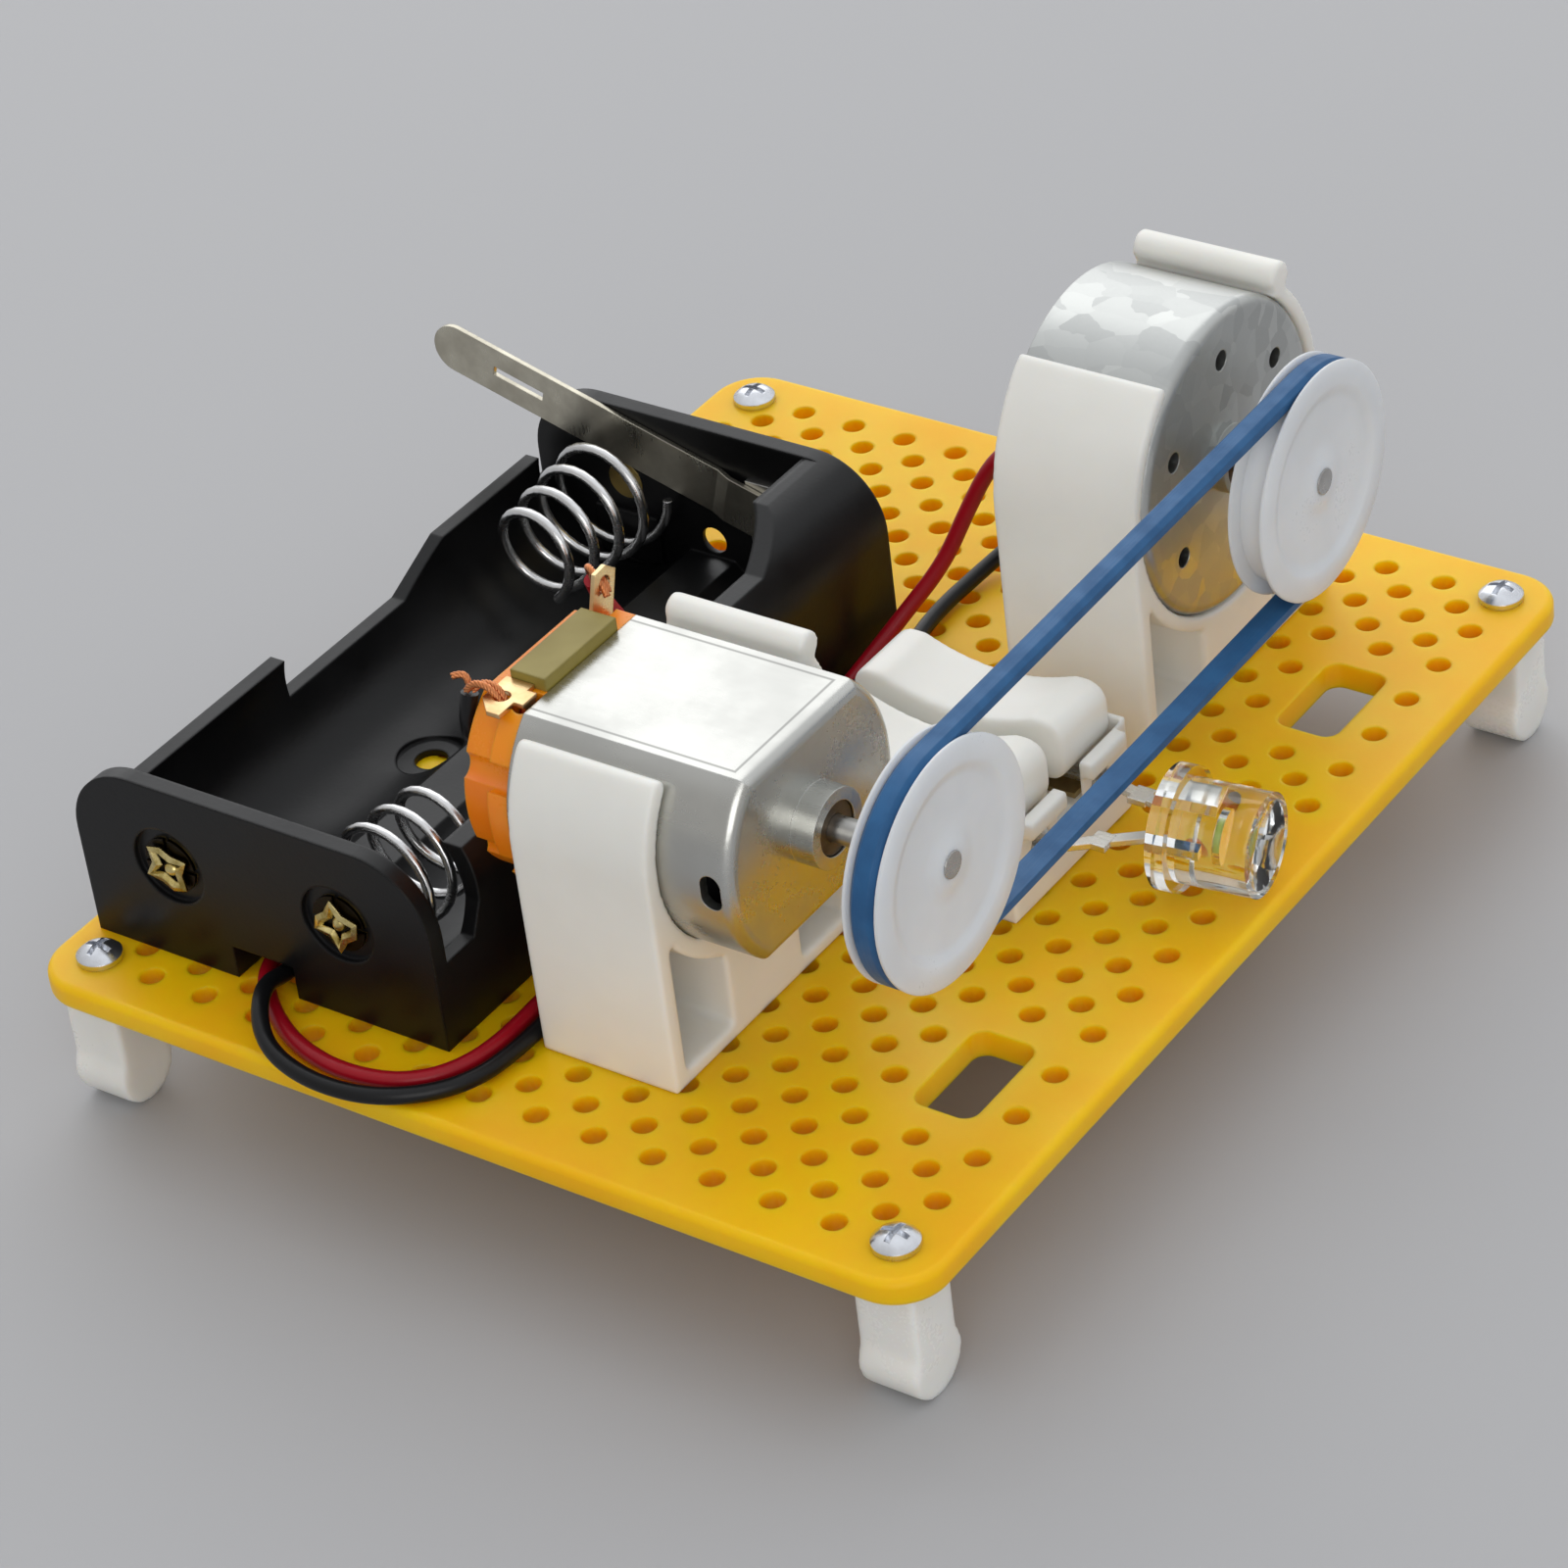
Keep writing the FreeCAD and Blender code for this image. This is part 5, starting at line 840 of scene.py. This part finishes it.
@dataclass(frozen=True)
class Studio:
    """Camera, floor and soft light round the part. Lengths in millimetres, angles in degrees."""

    camera_at: Point = (201.34, -252.1, 237.5)
    azimuth: float = 38.58
    elevation: float = 35.18
    roll: float = -7.43
    lens: float = 119.9
    sensor: float = 36.0
    sees_from: float = 10.0
    sees_to: float = 20000.0
    floor_colour: Colour = (0.42, 0.42, 0.428)
    floor_roughness: float = 0.6
    floor_half: float = 4000.0
    low_sky: Colour = (0.50, 0.495, 0.49)
    high_sky: Colour = (0.92, 0.94, 0.97)
    low_sky_ends: float = 0.15
    high_sky_starts: float = 0.75
    brightest: Point = (-0.1, 0.5, 0.86)
    key: Lamp = Lamp("key", (-430.0, 540.0, 490.0), 900.0, 2.3)
    fill: Lamp = Lamp("fill", (420.0, -560.0, 330.0), 480.0, 1.3)
    lamps_face: Point = (0.0, 0.0, 15.0)

    def build(self) -> None:
        """Make everything that isn't part of the object."""
        self._camera()
        self._floor()
        self._world()
        for lamp in (self.key, self.fill):
            lamp.build(self.lamps_face)
        bpy.context.scene.view_settings.view_transform = "Standard"

    def _camera(self) -> None:
        """Make the camera and turn it."""
        azimuth, elevation = math.radians(self.azimuth), math.radians(self.elevation)
        back = Vector((math.sin(azimuth) * math.cos(elevation),
                       -math.cos(azimuth) * math.cos(elevation), math.sin(elevation)))
        right = (-back).cross(Vector((0, 0, 1))).normalized()
        up = right.cross(-back)
        turn = Matrix((right, up, back)).transposed().to_4x4()
        turn = turn @ Matrix.Rotation(math.radians(self.roll), 4, "Z")
        data = bpy.data.cameras.new("camera")
        data.lens = self.lens
        data.sensor_width = self.sensor
        data.clip_start, data.clip_end = self.sees_from * MM, self.sees_to * MM
        camera = add_object("camera", data)
        camera.matrix_world = Matrix.Translation(Vector(self.camera_at) * MM) @ turn
        bpy.context.scene.camera = camera

    def _floor(self) -> None:
        """Make the plain pale floor."""
        shape = bmesh.new()
        bmesh.ops.create_grid(shape, x_segments=2, y_segments=2, size=self.floor_half * MM)
        floor = add_mesh("floor", shape)
        net = Network("floor")
        net.surface(Base_Color=self.floor_colour, Roughness=self.floor_roughness)
        floor.data.materials.append(net.material)

    def _world(self) -> None:
        """Light from all round, brightest from above and behind."""
        world = bpy.data.worlds.new("studio")
        bpy.context.scene.world = world
        world.use_nodes = True
        tree = world.node_tree
        where = tree.nodes.new("ShaderNodeTexCoord")
        toward = tree.nodes.new("ShaderNodeVectorMath")
        toward.operation = "DOT_PRODUCT"
        toward.inputs[1].default_value = self.brightest
        sky = tree.nodes.new("ShaderNodeValToRGB")
        stops = ((self.low_sky_ends, self.low_sky), (self.high_sky_starts, self.high_sky))
        for element, (position, colour) in zip(sky.color_ramp.elements, stops):
            element.position = position
            element.color = (*colour, 1.0)
        tree.links.new(where.outputs["Generated"], toward.inputs[0])
        tree.links.new(toward.outputs["Value"], sky.inputs["Fac"])
        tree.links.new(sky.outputs["Color"], tree.nodes["Background"].inputs["Color"])


# ---------------------------------------------------------------------------------------------
# Sub-assemblies. Lengths in millimetres, angles in degrees.
# ---------------------------------------------------------------------------------------------


@dataclass(frozen=True)
class Leads:
    """The four leads on the board."""

    radius: float = 0.65

    def build(self, bench: Bench) -> None:
        """Lay each lead along its route.

        Args:
            bench: Bench that makes the pieces.
        """
        for node, (finish, length, route) in self.routes().items():
            lead = bench.line(node.replace("lead", "cable"), route, self.radius)
            bench.hand_in(lead, finish, Body.CHASSIS, (node,))

    @staticmethod
    def routes() -> dict[str, tuple[Insulation, float, list[Point]]]:
        """Say how each lead runs.

        Returns:
            Finish, length and route of each lead, by its CAD node.
        """
        return {
            "battery_lead_black": (LEAD_BLACK, 101.0, [
                (-20.2, -34.9, 0.9), (-20.0, -38.5, 1.1), (-19.2, -42.6, 2.9),
                (-16.3, -46.4, 1.5), (-11.2, -47.7, 0.8), (-5.2, -47.0, 0.8),
                (-0.6, -43.0, 0.8), (0.3, -37.2, 0.8), (-0.2, -29.0, 0.8),
                (-0.1, -20.4, 0.8), (-0.6, -13.8, 1.0), (-0.9, -10.0, 4.6),
                (-1.9, -9.4, 10.4), (-4.6, -10.3, 15.0), (-6.6, -14.9, 17.0),
                (-6.3, -21.4, 17.5), (-6.2, -27.2, 18.6), (-5.7, -30.7, 21.0),
                (-5.3, -31.4, 23.4), (-5.1, -30.9, 25.3)]),
            "battery_lead_red": (LEAD_RED, 80.5, [
                (-22.9, -34.9, 0.8), (-22.5, -38.7, 0.7), (-18.9, -42.2, 0.7),
                (-14.5, -44.8, 0.75), (-9.2, -45.8, 0.8), (-4.2, -44.5, 0.8),
                (-1.4, -40.2, 0.8), (-1.5, -32.4, 0.8), (-2.3, -23.4, 0.8),
                (-2.4, -15.4, 0.9), (-2.5, -12.4, 4.8), (-2.8, -12.6, 10.8),
                (-3.5, -13.0, 16.4), (-4.9, -13.8, 20.6), (-5.3, -15.5, 23.8),
                (-4.9, -16.5, 26.0)]),
            "generator_lead_black": (LEAD_BLACK, 55.6, [
                (3.8, 2.9, 4.9), (1.0, 3.0, 4.8), (-1.3, 4.3, 4.1), (-1.9, 7.0, 2.7),
                (-1.6, 10.4, 1.2), (-1.7, 14.6, 0.8), (-3.0, 20.6, 0.8), (-2.8, 27.4, 0.9),
                (-1.2, 32.4, 2.4), (1.2, 34.6, 6.6), (3.2, 34.0, 11.6), (4.8, 32.0, 15.8),
                (6.4, 30.6, 18.3), (8.85, 30.2, 18.95)]),
            "generator_lead_red": (LEAD_RED, 47.6, [
                (3.8, -5.3, 4.9), (0.2, -5.1, 4.5), (-2.2, -2.4, 2.7), (-3.1, 2.2, 0.9),
                (-3.4, 7.4, 0.8), (-3.4, 12.0, 1.6), (-2.2, 15.8, 4.0), (0.0, 18.8, 7.6),
                (1.6, 20.3, 12.0), (3.5, 21.1, 16.0), (5.9, 21.4, 18.4),
                (8.85, 21.4, 18.95)]),
        }


@dataclass(frozen=True)
class ContactSpring:
    """A conical battery spring of round wire, which stands along Y from its foot."""

    node: str
    foot: Point
    side: int
    wire: float = 0.4
    wire_sides: int = 12
    base: float = 4.8
    tip: float = 3.62
    long: float = 12.0
    turns: float = 4.14
    steps: int = 28

    def build(self, bench: Bench) -> None:
        """Wind the spring from a round section and taper it.

        Args:
            bench: Bench that makes the piece.
        """
        shape = bmesh.new()
        bmesh.ops.create_circle(shape, segments=self.wire_sides, radius=self.wire, cap_ends=True,
                                matrix=Matrix.Translation((self.base, 0, 0)))
        # The section lies across the wire, which starts along Z, and the coil stands along Y.
        count = round(self.turns * self.steps)
        rise = Vector((0, self.side * self.long / count, 0))
        bmesh.ops.spin(shape, geom=shape.verts[:] + shape.edges[:] + shape.faces[:],
                       cent=(0, 0, 0), axis=(0, -self.side, 0), dvec=rise,
                       angle=self.turns * math.tau, steps=count)
        for vertex in shape.verts:
            grown = min(max(abs(vertex.co.y) / self.long, 0.0), 1.0)
            radius = math.hypot(vertex.co.x, vertex.co.z)
            narrow = (radius - grown * (self.base - self.tip)) / radius
            vertex.co.x *= narrow
            vertex.co.z *= narrow
        bmesh.ops.translate(shape, verts=shape.verts, vec=self.foot)
        piece = bench.solid(self.node.replace("spring", "coil"), shape, sharp=60.0)
        bench.hand_in(piece, SPRING, Body.CHASSIS, (self.node,))


@dataclass(frozen=True)
class Belt:
    """The flat band round both pulleys, its outer edges chamfered."""

    seat: float = 8.12
    thick: float = 1.0
    low: float = 27.55
    wide: float = 1.9
    chamfer: float = 0.36
    steps: int = 40

    def build(self, bench: Bench) -> None:
        """Turn the section half way round each pulley and join the two runs.

        Args:
            bench: Bench that makes the piece.
        """
        slope = math.atan2(GENERATOR_SHAFT[1] - DRIVE_SHAFT[1],
                           GENERATOR_SHAFT[0] - DRIVE_SHAFT[0])
        shape = bmesh.new()
        first = self._half(shape, DRIVE_SHAFT, math.pi / 2 + slope)
        second = self._half(shape, GENERATOR_SHAFT, -math.pi / 2 + slope)
        for one, other in ((first[0], second[1]), (first[1], second[0])):
            bmesh.ops.bridge_loops(shape, edges=one + other)
        piece = bench.solid("flat_belt", shape, sharp=25.0)
        bench.hand_in(piece, BLUE, Body.CHASSIS, ("drive_belt",))

    def _half(self, shape: bmesh.types.BMesh, centre: Spot, start: float
              ) -> tuple[list[bmesh.types.BMEdge], list[bmesh.types.BMEdge]]:
        """Spin the section half a turn round one pulley.

        Args:
            shape: Shape that takes the half turn.
            centre: Y and Z of the pulley's shaft.
            start: Angle in radians from Y at which the half turn starts.

        Returns:
            The edges of its first end and of its last.
        """
        cut = self.chamfer
        outline = ((0, 0), (self.wide, 0), (self.wide, self.thick - cut),
                   (self.wide - cut, self.thick), (cut, self.thick), (0, self.thick - cut))
        across, up = math.cos(start), math.sin(start)
        corners = [shape.verts.new((self.low + side,
                                    centre[0] + (self.seat + out) * across,
                                    centre[1] + (self.seat + out) * up))
                   for side, out in outline]
        loop = [shape.edges.new((one, corners[index - 1])) for index, one in enumerate(corners)]
        done = bmesh.ops.spin(shape, geom=corners + loop, cent=(0, *centre), axis=(1, 0, 0),
                              angle=math.pi, steps=self.steps)
        last = [part for part in done["geom_last"] if isinstance(part, bmesh.types.BMEdge)]
        return loop, last


@dataclass(frozen=True)
class Pulley:
    """A grooved pulley, dished on its front. Its profile gives X from its rear, and radius."""

    node: str
    centre: Spot
    body: Body
    rear: float = 27.0
    steps: int = 96
    profile: tuple[Spot, ...] = (
        (0.0, 0.985), (0.0, 2.3), (0.3, 2.6), (0.35, 3.4), (0.35, 6.3), (0.1, 6.7), (0.0, 7.2),
        (0.0, 8.95), (0.12, 9.15), (0.3, 9.15), (0.42, 8.9), (0.46, 8.05), (2.54, 8.05),
        (2.58, 8.9), (2.7, 9.17), (2.88, 9.17), (3.0, 8.95), (3.0, 7.45), (2.95, 7.1),
        (2.72, 6.75), (2.66, 6.2), (2.62, 3.2), (2.68, 2.2), (2.86, 1.75), (2.9, 0.985))

    def build(self, bench: Bench) -> None:
        """Spin the profile round the shaft.

        Args:
            bench: Bench that makes the piece.
        """
        shape = bmesh.new()
        ring = [shape.verts.new((self.rear + x, self.centre[0], self.centre[1] + radius))
                for x, radius in self.profile]
        loop = [shape.edges.new((one, ring[index - 1])) for index, one in enumerate(ring)]
        bmesh.ops.spin(shape, geom=ring + loop, cent=(0, *self.centre), axis=(1, 0, 0),
                       angle=math.tau, steps=self.steps, use_merge=True)
        piece = bench.solid(self.node.replace("pulley", "wheel"), shape, sharp=32.0)
        bench.hand_in(piece, NYLON, self.body, (self.node,))


@dataclass(frozen=True)
class Claws:
    """The splayed end of a hollow rivet: torn claws round a hollow, with the tube's end in it."""

    name: str
    centre: Spot
    turn: float
    face: float = -39.56
    reach: tuple[float, ...] = (2.3, 1.45, 1.9, 2.2, 1.4, 2.25, 1.35, 1.75, 2.15, 1.3)
    rim: float = 0.42
    rise: float = 0.14
    lip: float = 0.28
    hollow: float = 0.3
    stand_off: float = 0.3
    bead: float = 0.55
    bead_flat: Point = (1.0, 0.8, 0.7)
    bead_at: Point = (0.25, -0.15, -0.25)
    wall: float = 0.22

    def build(self, bench: Bench) -> None:
        """Pull a ring out to claws, turn its inner edge down and set the tube's end in it.

        Args:
            bench: Bench that makes the piece.
        """
        shape = bmesh.new()
        bmesh.ops.create_circle(shape, segments=len(self.reach), radius=1.0, cap_ends=True)
        rim = sorted(shape.verts, key=lambda vertex: math.atan2(vertex.co.y, vertex.co.x))
        for vertex, reach in zip(rim, self.reach):
            vertex.co *= reach
        core = shape.faces[:]
        bmesh.ops.inset_individual(shape, faces=core, thickness=self.rim, depth=self.rise)
        bmesh.ops.inset_individual(shape, faces=core, thickness=self.lip, depth=-self.hollow)
        bmesh.ops.delete(shape, geom=core, context="FACES_ONLY")
        bmesh.ops.subdivide_edges(shape, edges=shape.edges[:], cuts=1, use_grid_fill=True)
        bead = bmesh.ops.create_uvsphere(shape, u_segments=16, v_segments=10, radius=self.bead)
        bmesh.ops.scale(shape, verts=bead["verts"], vec=self.bead_flat)
        bmesh.ops.translate(shape, verts=bead["verts"], vec=self.bead_at)
        for angle, axis in ((self.turn, "Z"), (90.0, "X")):
            bmesh.ops.rotate(shape, verts=shape.verts, cent=(0, 0, 0),
                             matrix=Matrix.Rotation(math.radians(angle), 3, axis))
        bmesh.ops.translate(shape, verts=shape.verts,
                            vec=(self.centre[0], self.face - self.stand_off, self.centre[1]))
        piece = bench.solid(self.name, shape, sharp=25.0)
        wall = piece.modifiers.new("wall", "SOLIDIFY")
        wall.thickness = self.wall * MM
        wall.offset = 0.0
        bench.hand_in(piece, CLAW, Body.CHASSIS)


@dataclass(frozen=True)
class Softened:
    """A moulding whose edges are softened all over."""

    node: str
    finish: MouldedPlastic
    body: Body
    slot: Slot
    voxel: float = 0.25
    rounds: int = 5
    strength: float = 0.5
    weld: float = 0.001

    def build(self, bench: Bench) -> None:
        """Merge a copy of the node, remesh it finely and smooth it.

        Args:
            bench: Bench that makes the piece.
        """
        shape = bmesh.new()
        shape.from_mesh(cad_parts[self.node].data)
        bmesh.ops.remove_doubles(shape, verts=shape.verts, dist=self.weld * MM)
        for face in shape.faces:
            face.smooth = True
        obj = add_mesh(self.node + "_soft", shape)
        skin = obj.modifiers.new("skin", "REMESH")
        skin.mode = "VOXEL"
        skin.voxel_size = self.voxel * MM
        skin.use_smooth_shade = True
        soft = obj.modifiers.new("soft", "SMOOTH")
        soft.factor = self.strength
        soft.iterations = self.rounds
        bench.hand_in(obj, self.finish, self.body, (self.node,))


@dataclass(frozen=True)
class Strands:
    """Bared copper at the drive motor's lugs, each lead's end twisted from fine wires."""

    wires: int = 5
    wire: float = 0.1
    spread: float = 0.17
    lay: float = 1.5
    # A direction that no strand runs along, from which the wires' places are turned.
    beside: Point = (0.3, 0.2, 1.0)

    def build(self, bench: Bench) -> None:
        """Twist fine wires round each route. The first strand stands for the CAD node.

        Args:
            bench: Bench that makes the pieces.
        """
        nodes: tuple[str, ...] = ("bared_strands",)
        for number, route in enumerate(self.routes()):
            guide = bench.line(f"strand_guide_{number}", route, 0.0)
            mesh = bpy.data.meshes.new_from_object(guide)
            points = [vertex.co.copy() for vertex in mesh.vertices]
            bpy.data.objects.remove(guide)
            bpy.data.meshes.remove(mesh)
            curve = round_curve(f"strands_{number}", self.wire, fineness=2)
            for wire in range(self.wires):
                add_run(curve, self._wound(points, math.tau * wire / self.wires))
            obj = add_object(f"strands_{number}", curve)
            bench.hand_in(obj, COPPER, Body.CHASSIS, nodes)
            nodes = ()

    def _wound(self, points: Sequence[Vector], phase: float) -> list[Vector]:
        """Wind one wire round a line of points.

        Args:
            points: The line, in the frame's metres.
            phase: Angle in radians at which the wire starts.

        Returns:
            The wire's route, in the frame's metres.
        """
        route = []
        run = 0.0
        for index, point in enumerate(points):
            after = points[min(index + 1, len(points) - 1)]
            before = points[max(index - 1, 0)]
            along = (after - before).normalized()
            side = along.cross(Vector(self.beside)).normalized()
            run += (point - before).length
            angle = phase + math.tau * run / (self.lay * MM)
            route.append(point + Matrix.Rotation(angle, 3, along) @ side * self.spread * MM)
        return route

    @staticmethod
    def routes() -> list[list[Point]]:
        """Say how each bared end runs.

        Returns:
            The routes.
        """
        return [
            [(-4.8, -30.9, 25.55), (-4.4, -30.6, 26.1), (-3.5, -30.5, 26.35),
             (-2.5, -30.6, 26.1), (-2.1, -30.75, 25.4)],
            [(-5.1, -31.2, 25.65), (-4.7, -31.1, 26.3), (-3.8, -31.0, 26.5),
             (-2.75, -31.0, 26.15), (-2.3, -31.05, 25.4)],
            [(-5.25, -30.65, 25.6), (-5.5, -30.4, 26.1), (-6.0, -30.5, 26.4),
             (-6.5, -30.9, 26.25)],
            [(-4.75, -16.6, 26.15), (-4.5, -17.0, 27.0), (-3.7, -17.4, 27.35),
             (-2.8, -17.62, 27.2), (-2.45, -17.85, 26.5)],
            [(-5.05, -16.35, 26.2), (-4.9, -16.9, 27.3), (-4.2, -17.5, 27.9),
             (-3.4, -17.9, 27.6), (-2.7, -18.05, 27.0), (-2.3, -18.25, 26.4)],
        ]


def main() -> None:
    """Dress the part, build its new pieces and set the studio."""
    logging.basicConfig(level=logging.INFO, format="%(name)s: %(message)s")
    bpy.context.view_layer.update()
    Studio().build()
    bench = Bench()
    for node, finish in DRESS.items():
        bench.dress(node, finish)
    Leads().build(bench)
    ContactSpring("near_spring", (RIGHT_CELL_X, -37.53, CELL_Z), 1).build(bench)
    ContactSpring("far_spring", (LEFT_CELL_X, 16.18, CELL_Z), -1).build(bench)
    Belt().build(bench)
    Pulley("drive_pulley", DRIVE_SHAFT, Body.DRIVE).build(bench)
    Pulley("generator_pulley", GENERATOR_SHAFT, Body.GENERATOR).build(bench)
    Claws("left_claws", (LEFT_CELL_X, CELL_Z), turn=10.0).build(bench)
    Claws("right_claws", (RIGHT_CELL_X, CELL_Z), turn=75.0).build(bench)
    Strands().build(bench)
    for node in ("drive_bracket", "generator_bracket"):
        Softened(node, WHITE, Body.CHASSIS, Slot.WHITE_PLASTIC).build(bench)
    Softened("clamp_block", WHITE, Body.CHASSIS, Slot.WHITE_PLASTIC,
             voxel=0.2, rounds=4).build(bench)
    for node, body in (("clamp_lever_near", Body.LEVER_NEAR), ("clamp_lever_far", Body.LEVER_FAR)):
        Softened(node, WHITE, body, Slot.WHITE_PLASTIC, voxel=0.2, rounds=22).build(bench)
    for node in ("foot_near_left", "foot_near_right", "foot_far_left", "foot_far_right"):
        Softened(node, MILKY, Body.CHASSIS, Slot.FOOT_WHITE, rounds=12).build(bench)
    bpy.context.view_layer.update()


if __name__ == "__main__":
    main()
